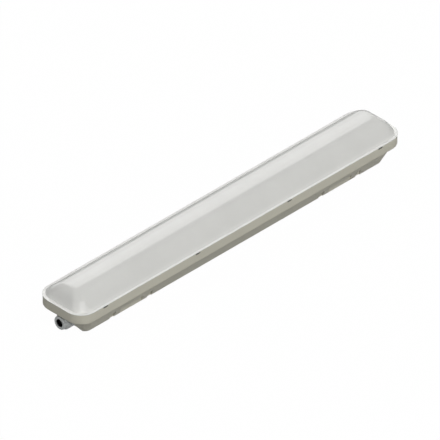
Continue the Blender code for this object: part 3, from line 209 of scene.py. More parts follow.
class Nodes:
    """Small helper that builds one Principled material."""

    def __init__(self, name, coords="Object"):
        self.material = bpy.data.materials.new(name)
        self.material.use_nodes = True
        self.tree = self.material.node_tree
        self.shader = self.tree.nodes["Principled BSDF"]
        self.coords = self.add("ShaderNodeTexCoord").outputs[coords]

    def add(self, kind, **values):
        node = self.tree.nodes.new(kind)
        for key, value in values.items():
            setattr(node, key, value)
        return node

    def wire(self, source, target):
        self.tree.links.new(source, target)

    def noise(self, scale, detail=2.0, roughness=0.5, stretch=None):
        node = self.add("ShaderNodeTexNoise")
        node.inputs["Scale"].default_value = scale
        node.inputs["Detail"].default_value = detail
        node.inputs["Roughness"].default_value = roughness
        coords = self.coords
        if stretch:
            mapping = self.add("ShaderNodeMapping")
            mapping.inputs["Scale"].default_value = stretch
            self.wire(coords, mapping.inputs["Vector"])
            coords = mapping.outputs["Vector"]
        self.wire(coords, node.inputs["Vector"])
        return node.outputs["Fac"]

    def spread(self, value, low, high, start=0.3, end=0.7):
        """Maps a value between start and end to low..high."""
        node = self.add("ShaderNodeMapRange")
        node.inputs["From Min"].default_value = start
        node.inputs["From Max"].default_value = end
        node.inputs["To Min"].default_value = low
        node.inputs["To Max"].default_value = high
        self.wire(value, node.inputs["Value"])
        return node.outputs["Result"]

    def ramp(self, value, start, end):
        """Goes from 0 at start to 1 at end."""
        return self.spread(value, 0.0, 1.0, start, end)

    def mix(self, factor, first, second, way="MIX"):
        node = self.add("ShaderNodeMix", data_type="RGBA", blend_type=way)
        for socket, value in ((node.inputs[6], first), (node.inputs[7], second)):
            if isinstance(value, tuple):
                socket.default_value = (*value, 1.0)
            else:
                self.wire(value, socket)
        if isinstance(factor, float):
            node.inputs[0].default_value = factor
        else:
            self.wire(factor, node.inputs[0])
        return node.outputs[2]

    def calculate(self, operation, first, second=None):
        return calculate(self.tree, operation, first, second)

    def painted_gap_shade(self, reach, alone):
        """Mask for painted shade: goes from 1 in the open to 0 deep in a gap, of the piece alone or among all
        pieces.
        """
        node = self.add("ShaderNodeAmbientOcclusion", samples=8, only_local=alone)
        node.inputs["Distance"].default_value = reach
        return node.outputs["AO"]

    def bump(self, layers, edge=0.0):
        """Softened edges, then bumps, each a height, its strength and its depth in metres."""
        normal = None
        if edge:
            soft = self.add("ShaderNodeBevel", samples=4)
            soft.inputs["Radius"].default_value = edge
            normal = soft.outputs["Normal"]
        for height, strength, depth in layers:
            node = self.add("ShaderNodeBump")
            node.inputs["Strength"].default_value = strength
            node.inputs["Distance"].default_value = depth
            self.wire(height, node.inputs["Height"])
            if normal:
                self.wire(normal, node.inputs["Normal"])
            normal = node.outputs["Normal"]
        self.wire(normal, self.shader.inputs["Normal"])

    def colour(self, source):
        self.wire(source, self.shader.inputs["Base Color"])

    def rough(self, source):
        self.wire(source, self.shader.inputs["Roughness"])

    def fixed(self, **values):
        for key, value in values.items():
            self.shader.inputs[key.replace("_", " ")].default_value = value


def shade(colour, amount):
    return tuple(channel * amount for channel in colour)


def mottling(build):
    """Shares of the clouds and of the flecks."""
    cloud = build.spread(build.noise(*CLOUD_NOISE), 0.0, 1.0)
    fleck = build.spread(build.noise(*FLECK_NOISE), 0.0, FLECK_SHARE)
    return cloud, fleck


def plastic(build, colour, reach, dark, open_from=PAINTED_SHADE_SPAN, alone=True):
    """Cloudy, flecked colour, with shade painted darker where gaps are deep."""
    cloud, fleck = mottling(build)
    base = build.mix(cloud, shade(colour, CLOUD_DARK), shade(colour, CLOUD_LIGHT))
    base = build.mix(fleck, base, shade(colour, FLECK_SHADE))
    # Painted shade: the colour turns towards its dark copy deep in gaps
    if reach:
        depth = build.ramp(build.painted_gap_shade(reach, alone), open_from - PAINTED_SHADE_SPAN, open_from)
        base = build.mix(depth, shade(colour, dark), base)
    return base


def moulded(name, colour, rough=0.45, grain=2600, depth=0.00002, edge=0.0003, reach=0.006, dark=0.35,
            open_from=PAINTED_SHADE_SPAN, alone=True, **fixed):
    """Moulded plastic with a spark-eroded grain, an uneven sheen and painted shade in its gaps."""
    build = Nodes(name)
    build.colour(plastic(build, colour, reach, dark, open_from, alone))
    build.rough(build.spread(build.noise(*SHEEN_NOISE), rough - 0.04, rough + 0.05))
    build.bump([(build.noise(grain, 3, 0.6), 0.35, depth)], edge)
    build.fixed(**fixed)
    return build.material


def opal_lens(build, colour, height, ends):
    """The lens, with painted light: whiter at its foot, further up at its ends than along its sides."""
    # Painted light: lit copies of the colour at the foot, mixed in by height
    side, end = (build.mix(build.ramp(height, FLANGE_TOP, FLANGE_TOP + reach), shade(colour, whiter), colour)
                 for whiter, reach in LENS_FOOT_PAINTED_LIGHT)
    cloud, fleck = mottling(build)
    cloud = build.mix(cloud, shade(WHITE, CLOUD_DARK), shade(WHITE, CLOUD_LIGHT))
    fleck = build.mix(fleck, WHITE, shade(WHITE, FLECK_SHADE))
    cloudy = build.mix(1.0, build.mix(ends, side, end), cloud, "MULTIPLY")
    return build.mix(1.0, cloudy, fleck, "MULTIPLY")


def opal(name, colour):
    """Milky cover, painted whiter at its flange and towards its ends, with a thin skin that mirrors the
    lamps.
    """
    build = Nodes(name)
    split = build.add("ShaderNodeSeparateXYZ")
    build.wire(build.coords, split.inputs[0])
    height = split.outputs["Z"]
    ends = build.ramp(build.calculate("ABSOLUTE", split.outputs["X"]), ENDS_FROM, ENDS_TO)
    # Painted light: the flange is a whiter copy of the colour, whiter still towards the ends, with painted
    # shade in its gaps
    flange = build.mix(ends, *(plastic(build, shade(colour, whiter), reach=0.004, dark=0.12)
                               for whiter in FLANGE_PAINTED_LIGHT))
    # Painted shade: the tongue's colour goes almost black in gaps, so it shows dark through the slots
    tongue = plastic(build, shade(colour, FLANGE_PAINTED_LIGHT[0]), reach=0.008, dark=0.03, open_from=0.75,
                     alone=False)
    seam = 0.0002
    flange_and_tongue_painted = build.mix(build.ramp(height, FLANGE_BOTTOM - seam, FLANGE_BOTTOM), tongue, flange)
    above = build.ramp(height, FLANGE_TOP + seam, FLANGE_TOP + 4 * seam)
    build.colour(build.mix(above, flange_and_tongue_painted, opal_lens(build, colour, height, ends)))
    build.rough(build.spread(build.noise(*SHEEN_NOISE), 0.5, 0.6))
    build.bump([(build.noise(1500, 3, 0.6), 0.3, 0.000004)], 0.0002)
    build.fixed(Specular_IOR_Level=0.1, Coat_Weight=1.0, Coat_Roughness=0.01)
    return build.material


def metal(name, colour, rough=0.32, stretch=(1, 1, 12), edge=0.0002):
    """Plated metal: fine draw lines, cloudy plating and a few dull spots."""
    build = Nodes(name)
    spots = build.ramp(build.noise(1500, 3), 0.55, 0.8)
    cloud = build.mix(build.spread(build.noise(150, 3), 0.0, 1.0), shade(colour, 0.9), colour)
    build.colour(build.mix(spots, cloud, shade(colour, 0.7)))
    build.rough(build.spread(build.noise(400, 3, 0.6, stretch), rough - 0.07, rough + 0.1))
    build.bump([(build.noise(3000, 2, 0.5, stretch), 0.25, 0.00001)], edge)
    build.fixed(Metallic=1.0)
    return build.material


def striped(name, first, second):
    """Lead with two stripes of a second colour along it."""
    build = Nodes(name, "UV")
    split = build.add("ShaderNodeSeparateXYZ")
    build.wire(build.coords, split.inputs[0])
    band = build.ramp(build.calculate("PINGPONG", split.outputs["X"], 0.25), 0.115, 0.135)
    cloud = build.spread(build.noise(40, 3), 0.0, 0.25)
    build.colour(build.mix(cloud, build.mix(band, first, second), shade(first, 0.8)))
    build.rough(build.spread(build.noise(30, 2), 0.33, 0.45))
    build.bump([(build.noise(220, 2), 0.2, 0.00002)])
    return build.material


FINISHES = {
    "opal_cover": opal("opal_cover", (0.683, 0.683, 0.657)),
    # The housing's painted shade darkens its slots, its gland pocket and the band under the rim
    "housing_grey": moulded("housing_grey", (0.660, 0.641, 0.542), rough=0.5, reach=0.010, dark=0.3,
                            open_from=0.6, Specular_IOR_Level=0.1),
    # The gland's painted shade turns the nut's hollow and its mouth nearly black
    "gland_grey": moulded("gland_grey", (0.52, 0.54, 0.535), rough=0.42, reach=0.012, dark=0.02,
                          open_from=0.95),
    "sheet_white": moulded("sheet_white", (0.80, 0.80, 0.79), rough=0.38, grain=1800, depth=0.000012),
    "case_white": moulded("case_white", (0.76, 0.76, 0.74)),
    "board_white": moulded("board_white", (0.82, 0.83, 0.81), rough=0.3, grain=700, depth=0.00001),
    "nylon_natural": moulded("nylon_natural", (0.70, 0.68, 0.60), rough=0.4),
    "button_orange": moulded("button_orange", (0.78, 0.22, 0.03), rough=0.38),
    # The rubber's colour has painted shade, darker in gaps among all pieces
    "rubber_black": moulded("rubber_black", (0.022, 0.022, 0.022), rough=0.65, grain=1400, depth=0.00003,
                            reach=0.02, dark=0.02, open_from=0.98, alone=False, Specular_IOR_Level=0.2),
    "foam_grey": moulded("foam_grey", (0.13, 0.13, 0.13), rough=0.85, grain=1600, depth=0.00012),
    "zinc_steel": metal("zinc_steel", (0.66, 0.67, 0.66)),
    "brass_tag": metal("brass_tag", (0.74, 0.56, 0.26), rough=0.3, stretch=(10, 1, 1)),
    "lead_brown": moulded("lead_brown", (0.16, 0.06, 0.02), rough=0.4, grain=1200, reach=0),
    "lead_blue": moulded("lead_blue", (0.02, 0.10, 0.45), rough=0.4, grain=1200, reach=0),
    "lead_green": striped("lead_green", (0.08, 0.34, 0.05), (0.80, 0.62, 0.03)),
    "lead_red": moulded("lead_red", (0.55, 0.02, 0.02), rough=0.4, grain=1200, reach=0),
    "lead_black": moulded("lead_black", (0.03, 0.03, 0.03), rough=0.4, grain=1200, reach=0),
}
# A darker, rougher copy of the gland's finish with strong painted shade, for its inner faces and the claw
GLAND_PAINTED_SHADE = moulded("gland_painted_shade", (0.47, 0.49, 0.485), rough=0.6, reach=0.03, dark=0.01,
                      open_from=1.0, alone=False, Specular_IOR_Level=0.1)
PHOSPHOR = moulded("phosphor", (0.85, 0.62, 0.10), rough=0.25, grain=3000, depth=0.00001, edge=0)
SOLDER = metal("solder", (0.72, 0.72, 0.72), rough=0.28, stretch=None)
SLOT_OF = {entry["node"]: entry["material_slot"] for entry in frame["record"]["subparts"]}
BODY_OF = {node: body for body, nodes in frame["record"]["behaviour"]["bodies"].items() for node in nodes}


def smooth_group():
    """Geometry nodes that shade smooth and keep edges over 30 degrees sharp."""
    group = bpy.data.node_groups.new("smooth_by_angle", "GeometryNodeTree")
    group.interface.new_socket("Geometry", in_out="INPUT", socket_type="NodeSocketGeometry")
    group.interface.new_socket("Geometry", in_out="OUTPUT", socket_type="NodeSocketGeometry")
    nodes = group.nodes
    start = nodes.new("NodeGroupInput")
    end = nodes.new("NodeGroupOutput")
    angle = nodes.new("GeometryNodeInputMeshEdgeAngle")
    compare = nodes.new("FunctionNodeCompare")
    compare.data_type = "FLOAT"
    compare.operation = "LESS_EQUAL"
    compare.inputs[1].default_value = math.radians(30)
    edges = nodes.new("GeometryNodeSetShadeSmooth")
    edges.domain = "EDGE"
    faces = nodes.new("GeometryNodeSetShadeSmooth")
    faces.domain = "FACE"
    links = group.links
    links.new(start.outputs[0], edges.inputs["Geometry"])
    links.new(angle.outputs["Unsigned Angle"], compare.inputs[0])
    links.new(compare.outputs[0], edges.inputs["Shade Smooth"])
    links.new(edges.outputs["Geometry"], faces.inputs["Geometry"])
    links.new(faces.outputs["Geometry"], end.inputs[0])
    return group


SMOOTH = smooth_group()


def smooth(obj):
    step = obj.modifiers.new("smooth", "NODES")
    step.node_group = SMOOTH
    return obj


def dress_nodes():
    """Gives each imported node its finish, and smooths its facets with modifiers."""
    for node, slot in SLOT_OF.items():
        obj = frame["nodes"][node]
        obj.data.materials.clear()
        obj.data.materials.append(FINISHES[slot])
        weld = obj.modifiers.new("weld", "WELD")
        weld.merge_threshold = 0.000002
        smooth(obj)


def stand_for(obj, node, *extra_materials):
    """A fine piece takes a node's place, body and finish."""
    for material in (FINISHES[SLOT_OF[node]], *extra_materials):
        obj.data.materials.append(material)
    smooth(obj)
    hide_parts(node)
    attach(obj, BODY_OF[node])
    return obj


def piece(name, bm):
    """The object that a finished bmesh makes."""
    bmesh.ops.recalc_face_normals(bm, faces=bm.faces)
    mesh = bpy.data.meshes.new(name)
    bm.to_mesh(mesh)
    bm.free()
    return link(bpy.data.objects.new(name, mesh))


def carve(target, tools, operation="DIFFERENCE"):
    """Cuts or joins shapes in one go, so that the result is the target's own mesh, then removes them."""
    for tool in tools:
        step = target.modifiers.new(tool.name, "BOOLEAN")
        step.operation = operation
        step.solver = "EXACT"
        step.object = tool
    bpy.context.view_layer.update()
    done = target.evaluated_get(bpy.context.evaluated_depsgraph_get())
    mesh = bpy.data.meshes.new_from_object(done)
    target.modifiers.clear()
    target.data = mesh
    for tool in tools:
        bpy.data.objects.remove(tool)
    return target


def outline(half_x, half_y, radius, height, steps=18):
    """Rounded rectangle with a few points more on its straight sides, so that shading stays even there."""
    points = []
    corners = ((1, 1), (-1, 1), (-1, -1), (1, -1))
    for quarter, (side_x, side_y) in enumerate(corners):
        centre = Vector((side_x * (half_x - radius), side_y * (half_y - radius), height))
        for step in range(steps + 1):
            angle = (quarter + step / steps) * math.pi / 2
            points.append(centre + radius * Vector((math.cos(angle), math.sin(angle), 0)))
        next_x, next_y = corners[(quarter + 1) % 4]
        turn = (quarter + 1) * math.pi / 2
        start = points[-1]
        end = Vector((next_x * (half_x - radius), next_y * (half_y - radius), height))
        end = end + radius * Vector((math.cos(turn), math.sin(turn), 0))
        for share in (0.004, 0.2, 0.4, 0.6, 0.8, 0.996):
            points.append(start.lerp(end, share))
    return points


def loft(name, rings, closed=False):
    bm = bmesh.new()
    rows = [[bm.verts.new(point) for point in ring] for ring in rings]
    following = rows[1:] + rows[:1] if closed else rows[1:]
    for lower, upper in zip(rows, following):
        for index in range(len(lower)):
            after = (index + 1) % len(lower)
            bm.faces.new((lower[index], lower[after], upper[after], upper[index]))
    if not closed:
        bm.faces.new(rows[0])
        bm.faces.new(rows[-1])
    return piece(name, bm)


def box(name, items, edge=0.0, segments=3):
    """Boxes, each a centre and a size, with edges rounded by edge."""
    bm = bmesh.new()
    for centre, size in items:
        place = Matrix.Translation(centre) @ Matrix.Diagonal((*size, 1))
        bmesh.ops.create_cube(bm, size=1, matrix=place)
    if edge:
        bmesh.ops.bevel(bm, geom=bm.edges[:], offset=edge, segments=segments, profile=0.5, affect="EDGES")
    return piece(name, bm)


def rods(name, items, sides=32):
    """Cylinders, each a start, an end and a radius."""
    bm = bmesh.new()
    for start, end, radius in items:
        start, end = Vector(start), Vector(end)
        turn = Z_AXIS.rotation_difference(end - start).to_matrix().to_4x4()
        place = Matrix.Translation((start + end) / 2) @ turn
        bmesh.ops.create_cone(bm, cap_ends=True, segments=sides, radius1=radius, radius2=radius,
                              depth=(end - start).length, matrix=place)
    return piece(name, bm)


def prism(name, points, depth):
    bm = bmesh.new()
    face = bm.faces.new([bm.verts.new(point) for point in points])
    pushed = bmesh.ops.extrude_face_region(bm, geom=[face])
    moved = [item for item in pushed["geom"] if isinstance(item, bmesh.types.BMVert)]
    bmesh.ops.translate(bm, vec=depth, verts=moved)
    return piece(name, bm)


def turned(name, profile, sides=96, flats=None, spans=()):
    """Turns a closed profile of (radius, height) about Z. Six flats cut it between the heights in spans."""
    bm = bmesh.new()
    rows = []
    for radius, height in profile:
        row = []
        for index in range(sides):
            angle = math.tau * index / sides
            reach = radius
            if flats and any(low <= height <= high for low, high in spans):
                off = (angle + math.pi / 6) % (math.pi / 3) - math.pi / 6
                reach = min(radius, flats / math.cos(off))
            row.append(bm.verts.new((reach * math.cos(angle), reach * math.sin(angle), height)))
        rows.append(row)
    for lower, upper in zip(rows, rows[1:] + rows[:1]):
        for index in range(sides):
            after = (index + 1) % sides
            bm.faces.new((lower[index], lower[after], upper[after], upper[index]))
    return piece(name, bm)


def arc(centre, radius, start, end, steps=5):
    """(radius, height) points on a quarter or less, angles in degrees from the radial direction."""
    points = []
    for step in range(steps + 1):
        angle = math.radians(start + (end - start) * step / steps)
        points.append((centre[0] + radius * math.cos(angle), centre[1] + radius * math.sin(angle)))
    return points


# Cover

def dome_outline(rise, inset):
    """Section of the dome at a height over the flange, shrunk by inset."""
    end_height = rise - DOME_RISE + DOME_END_RADIUS
    side_height = rise - DOME_RISE + DOME_SIDE_RADIUS
    half_x = DOME_STRAIGHT_X + math.sqrt((DOME_END_RADIUS - inset) ** 2 - end_height ** 2)
    half_y = math.sqrt((DOME_SIDE_RADIUS - inset) ** 2 - side_height ** 2)
    return outline(half_x, half_y, DOME_CORNER * half_y / DOME_FOOT_Y, FLANGE_TOP + rise)


def dome_rings(inset, foot_angle, count):
    rings = []
    crest = math.radians(0.8)
    for step in range(count + 1):
        angle = foot_angle + (crest - foot_angle) * step / count
        rise = DOME_RISE - DOME_END_RADIUS + (DOME_END_RADIUS - inset) * math.cos(angle)
        rings.append(dome_outline(rise, inset))
    return rings


def slot_positions():
    return [FIRST_SLOT_X * (1 - 2 * index / (SLOT_COUNT - 1)) for index in range(SLOT_COUNT)]


def flange_rings(edge):
    """Rounded upper edge of the flange, then its outer wall."""
    rings = []
    for step in range(4):
        angle = math.pi / 2 * step / 3
        inset = edge * (1 - math.sin(angle))
        rings.append(outline(COVER_X - inset, COVER_Y - inset, COVER_CORNER - inset,
                             FLANGE_TOP - edge * (1 - math.cos(angle))))
    rings.append(outline(COVER_X, COVER_Y, COVER_CORNER, FLANGE_BOTTOM))
    return rings


def tongue_rings(edge):
    """Down the outside of the tongue, across its softened end and up its inside."""
    inner = TONGUE_INSET + TONGUE_WALL
    sections = ((TONGUE_INSET, FLANGE_BOTTOM), (TONGUE_INSET, TONGUE_BOTTOM + edge),
                (TONGUE_INSET + edge, TONGUE_BOTTOM), (inner - edge, TONGUE_BOTTOM),
                (inner, TONGUE_BOTTOM + edge), (inner, FLANGE_BOTTOM))
    return [rim_outline(height, inset) for inset, height in sections]


def cover():
    """Dome, flange with a rounded edge, tongue and guide lugs."""
    edge = 0.0003
    rings = list(reversed(dome_rings(0, DOME_FOOT_ANGLE, 36)))
    rings += flange_rings(edge) + tongue_rings(edge)
    inner_foot = math.acos((DOME_END_RADIUS - DOME_RISE) / (DOME_END_RADIUS - DOME_WALL))
    shell = loft("cover_shell", rings + dome_rings(DOME_WALL, inner_foot, 24))
    lug_y = RIM_Y - TONGUE_INSET - LUG_SINK
    lugs = [(Vector((x, side * lug_y, LUG_HEIGHT)), LUG_SIZE) for x in slot_positions() for side in (-1, 1)]
    carve(shell, [box("lugs", lugs, edge, 2)], "UNION")
    return stand_for(shell, "diffuser_cover")


# Housing

def base_outline(height, inset):
    share = min(max(height / BASE_DEPTH, 0), 1)
    return outline(BACK_X + share * (BASE_X - BACK_X) - inset, BACK_Y + share * (BASE_Y - BACK_Y) - inset,
                   BACK_CORNER + share * (BASE_CORNER - BACK_CORNER) - inset, height)


def rim_outline(height, inset):
    return outline(RIM_X - inset, RIM_Y - inset, RIM_CORNER - inset, height)


def lip_outline(height, inset):
    return outline(BASE_X - inset, BASE_Y - inset, BASE_CORNER - inset, height)


def arch(x, radius, top):
    """Round-headed opening across the gland's axis, wider at its foot and cut off at top."""
    foot = radius + ARCH_SPREAD * (GLAND_Z + OVERRUN) / GLAND_Z
    points = [Vector((x, -foot, -OVERRUN)), Vector((x, foot, -OVERRUN))]
    for step in range(41):
        angle = math.pi * step / 40
        points.append(Vector((x, radius * math.cos(angle), min(GLAND_Z + radius * math.sin(angle), top))))
    return points


def clip_boxes(grow):
    """A wide bay between two narrow notches, for each mounting clip."""
    parts = ((0, CLIP_BAY, CLIP_BAY_DEPTH), (-CLIP_NOTCH_AWAY, CLIP_NOTCH, CLIP_NOTCH_DEPTH),
             (CLIP_NOTCH_AWAY, CLIP_NOTCH, CLIP_NOTCH_DEPTH))
    places = [(x, side) for x in (-CLIP_X, CLIP_X) for side in (-1, 1)]
    items = []
    for x, side in places:
        for offset, width, inset in parts:
            inner = BACK_Y - inset - grow
            outer = BASE_Y + OVERRUN
            top = CLIP_HEIGHT + grow
            centre = Vector((x + offset, side * (inner + outer) / 2, (top - OVERRUN) / 2))
            items.append((centre, (width + 2 * grow, outer - inner, top + OVERRUN)))
    return items


def upright(name, places, radius, low, high, sides=32):
    return rods(name, [((x, y, low), (x, y, high), radius) for x, y in places], sides)


def span(node):
    """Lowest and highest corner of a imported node."""
    return [Vector(corner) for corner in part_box(node)]


def middle(node):
    low, high = span(node)
    return (low + high) / 2


def group_of(name):
    """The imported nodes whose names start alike, in order."""
    return sorted(node for node in SLOT_OF if node.startswith(name))


def screw_places(name):
    return [middle(node).to_tuple()[:2] for node in group_of(name)]


def release_slot(x, side):
    """Cutter for a slot in the top of the rim. Its bottom falls away inwards."""
    inner, outer = side * (RIM_Y - RIM_WALL - GAP), side * (RIM_Y + OVERRUN)
    above, bottom = RIM_TOP + OVERRUN, RIM_TOP - SLOT_DEPTH
    edge = side * RIM_Y
    points = ((inner, above), (outer, above), (outer, bottom), (edge, bottom), (inner, bottom - SLOT_FALL))
    return prism("slot", [Vector((x - SLOT_LENGTH / 2, y, z)) for y, z in points], X_AXIS * SLOT_LENGTH)


def housing_shell():
    """Outside of the housing: rounded back edge, tapered base, rounded step and the rim."""
    back_round, step_round, top_round = 0.0008, 0.0006, 0.0003
    rings = []
    for step in range(5):
        angle = math.pi / 2 * step / 4
        rings.append(base_outline(back_round * (1 - math.cos(angle)), back_round * (1 - math.sin(angle))))
    rings += [base_outline(height, 0) for height in (0.008, 0.019, BASE_DEPTH)]
    for step in range(5):
        angle = math.pi / 2 * step / 4
        inset = step_round * (1 - math.sin(angle))
        rings.append(rim_outline(BASE_DEPTH + step_round * (1 - math.cos(angle)), inset))
    rings += [rim_outline(RIM_TOP - top_round, 0), rim_outline(RIM_TOP, top_round)]
    return loft("housing_shell", rings)


def housing_hollow():
    """Inside of the housing, with the gasket groove round its lip."""
    return loft("hollow", [
        base_outline(BASE_FLOOR, BASE_WALL),
        base_outline(BASE_DEPTH, BASE_WALL),
        lip_outline(LIP_TOP, BASE_WALL),
        lip_outline(LIP_TOP, 0),
        lip_outline(GROOVE_FLOOR, 0),
        rim_outline(GROOVE_FLOOR, RIM_WALL),
        rim_outline(RIM_TOP + OVERRUN, RIM_WALL),
    ])


def housing():
    """Shell with its hollow, gasket groove, clip recesses, gland pocket, release slots and screw posts."""
    post_screws = screw_places("tray_screw")
    block_screws = screw_places("terminal_screw")
    post_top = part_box("gear_tray")[1][2] - SHEET - GAP
    body = housing_shell()
    hollow = housing_hollow()
    pad = Vector((middle("terminal_block").x, 0, PAD_TOP / 2))
    seat_backing = arch(-RIM_X, ARCH_RADIUS + BASE_WALL, GROOVE_FLOOR)
    carve(hollow, [
        upright("posts", post_screws, POST_RADIUS, -OVERRUN, post_top),
        box("clip_backing", clip_boxes(BASE_WALL)),
        prism("seat_backing", seat_backing, X_AXIS * (SEAT_INNER_X + RIM_X)),
        box("block_pad", [(pad, (PAD_LENGTH, PAD_WIDTH, PAD_TOP))]),
    ])
    seat = arch(SEAT_X, ARCH_RADIUS, BASE_DEPTH)
    through = ((SEAT_X - OVERRUN, 0, GLAND_Z), (SEAT_INNER_X + OVERRUN, 0, GLAND_Z), GLAND_HOLE)
    carve(body, [
        hollow,
        box("clip_recesses", clip_boxes(0)),
        prism("gland_pocket", seat, X_AXIS * -(RIM_X + SEAT_X + OVERRUN)),
        rods("gland_hole", [through], 64),
        *(release_slot(x, side) for x in slot_positions() for side in (-1, 1)),
        upright("post_holes", post_screws, POST_BORE, post_top - POST_BORE_DEPTH, post_top + OVERRUN),
        upright("block_holes", block_screws, BLOCK_HOLE, BLOCK_HOLE_LOW, PAD_TOP + OVERRUN),
    ])
    return stand_for(body, "housing")


# Gland, modelled along its own axis and then laid along -X at the seat

def lay_gland(obj, node, *extra_materials):
    obj.data.transform(Matrix.Translation((SEAT_X, 0, GLAND_Z)) @ Matrix.Rotation(-math.pi / 2, 4, "Y"))
    return stand_for(obj, node, *extra_materials)


def line_inside(obj):
    """Gives the faces that look at the axis the second material, a darker copy with strong painted shade."""
    for face in obj.data.polygons:
        away = face.center.copy()
        away.z = 0
        if face.normal.dot(away.normalized()) < -0.2:
            face.material_index = 1


def thread(radius, low, high, depth=0.0004, pitch=0.0015):
    """Ridges from the height high down to low, each pitch apart."""
    points = []
    count = int((high - low) / pitch)
    for index in range(count):
        top = high - index * pitch
        points += [(radius - depth, top), (radius, top - pitch * 0.4), (radius, top - pitch * 0.6)]
    points.append((radius - depth, high - count * pitch))
    return points


def gland_sleeve():
    """Threaded sleeve with a six-sided collar."""
    edge = 0.0006
    rim = GLAND_GRIP - edge
    front, front_root, front_lead = 0.00985, 0.00945, 0.0004
    rear, rear_lead = 0.0100, 0.0002
    profile = [(GLAND_BORE, SLEEVE_FRONT)]
    profile += thread(front, COLLAR_HIGH + edge, SLEEVE_FRONT - front_lead)
    profile += [(front_root, COLLAR_HIGH)]
    profile += arc((rim, COLLAR_HIGH - edge), edge, 90, 0)
    profile += arc((rim, COLLAR_LOW + edge), edge, 0, -90)
    profile += [(rear, COLLAR_LOW)]
    profile += thread(rear, SLEEVE_BACK + rear_lead, LOCK_FRONT)
    profile += [(GLAND_BORE, SLEEVE_BACK)]
    sleeve = turned("gland_sleeve", profile, 96, GLAND_FLATS, [(COLLAR_LOW, COLLAR_HIGH)])
    lay_gland(sleeve, "gland_body")


def dome_nut():
    """Grip with flats, a cone to the rounded nose, and a hollow that narrows to the mouth."""
    edge, lip = 0.0010, 0.0007
    nose, mouth, claw_room, bore = 0.0096, 0.0060, 0.0094, 0.01015
    foot, bevel, ledge = 0.0125, 0.0006, 0.0004
    cone = [(0.0106, NUT_NOSE - 0.0028), (0.0117, NUT_NOSE - 0.0045), (0.01265, NUT_GRIP_END + 0.0022)]
    profile = arc((nose, NUT_NOSE - edge), edge, 90, 0) + cone
    profile += arc((GLAND_GRIP - edge, NUT_GRIP_END + edge), edge, 45, 0, 3)
    profile += [(GLAND_GRIP, NUT_GRIP_END - ledge), (GLAND_GRIP, NUT_LOW + bevel), (foot, NUT_LOW)]
    profile += [(bore, NUT_LOW), (bore, CLAW_LOW), (claw_room, CLAW_LOW), (claw_room, CLAW_HIGH + GAP)]
    profile += [(mouth, NUT_NOSE - 2 * lip)]
    profile += arc((mouth + lip, NUT_NOSE - lip), lip, 180, 90, 4)
    nut = turned("gland_nut_shell", profile, 120, GLAND_FLATS, [(NUT_LOW, NUT_GRIP_END + 0.0001)])
    line_inside(nut)
    lay_gland(nut, "gland_dome_nut", GLAND_PAINTED_SHADE)


def lock_nut():
    """Six-sided nut inside the housing, chamfered at both faces."""
    half = GLAND_Z - BASE_FLOOR - GAP
    corner = half / math.cos(math.pi / 6)
    chamfer = 0.0007
    profile = [(GLAND_HOLE, LOCK_FRONT), (half, LOCK_FRONT), (corner, LOCK_FRONT - chamfer),
               (corner, LOCK_BACK + chamfer), (half, LOCK_BACK), (GLAND_HOLE, LOCK_BACK)]
    nut = turned("lock_nut_shell", profile, 96, half, [(LOCK_BACK, LOCK_FRONT)])
    lay_gland(nut, "gland_lock_nut")


def gland_rubber():
    """Seal between collar and seat, and the sleeve that grips the cable."""
    edge, low, high = 0.0002, GAP, COLLAR_LOW - GAP
    seal = turned("seal_ring", [(GLAND_HOLE, low), (GLAND_GRIP - edge, low), (GLAND_GRIP, low + edge),
                                (GLAND_GRIP, high - edge), (GLAND_GRIP - edge, high), (GLAND_HOLE, high)])
    lay_gland(seal, "gland_seal")

    outer, inner = GLAND_BORE - GAP, 0.0051
    edge, mouth_width, mouth_depth = 0.0004, 0.0005, 0.0006
    profile = [(outer, INSERT_BACK), (outer, INSERT_FRONT - edge), (outer - edge, INSERT_FRONT),
               (inner + mouth_width, INSERT_FRONT), (inner, INSERT_FRONT - mouth_depth), (inner, INSERT_BACK)]
    insert = turned("rubber_sleeve", profile, 64)
    lay_gland(insert, "gland_insert")


def claw():
    """Ring with eight fingers."""
    outer, count = 0.0091, 8
    ring = turned("claw_ring", [(GLAND_BORE, CLAW_LOW), (outer, CLAW_LOW), (outer, CLAW_SHOULDER),
                                (outer - GAP, CLAW_HIGH), (GLAND_BORE, CLAW_HIGH)], 64)
    size, away, foot = (0.0054, 0.0011, 0.0082), 0.0100, 0.0020
    shift = Matrix.Translation((away, 0, CLAW_LOW + foot + size[2] / 2))
    bm = bmesh.new()
    for index in range(count):
        turn = Matrix.Rotation(math.tau * index / count, 4, "Z")
        bmesh.ops.create_cube(bm, size=1, matrix=turn @ shift @ Matrix.Diagonal((*size, 1)))
    carve(ring, [piece("claw_slots", bm)])
    # The whole claw takes the darker copy with painted shade
    for face in ring.data.polygons:
        face.material_index = 1
    lay_gland(ring, "gland_claw", GLAND_PAINTED_SHADE)


def gland():
    gland_sleeve()
    dome_nut()
    lock_nut()
    gland_rubber()
    claw()


# Fasteners

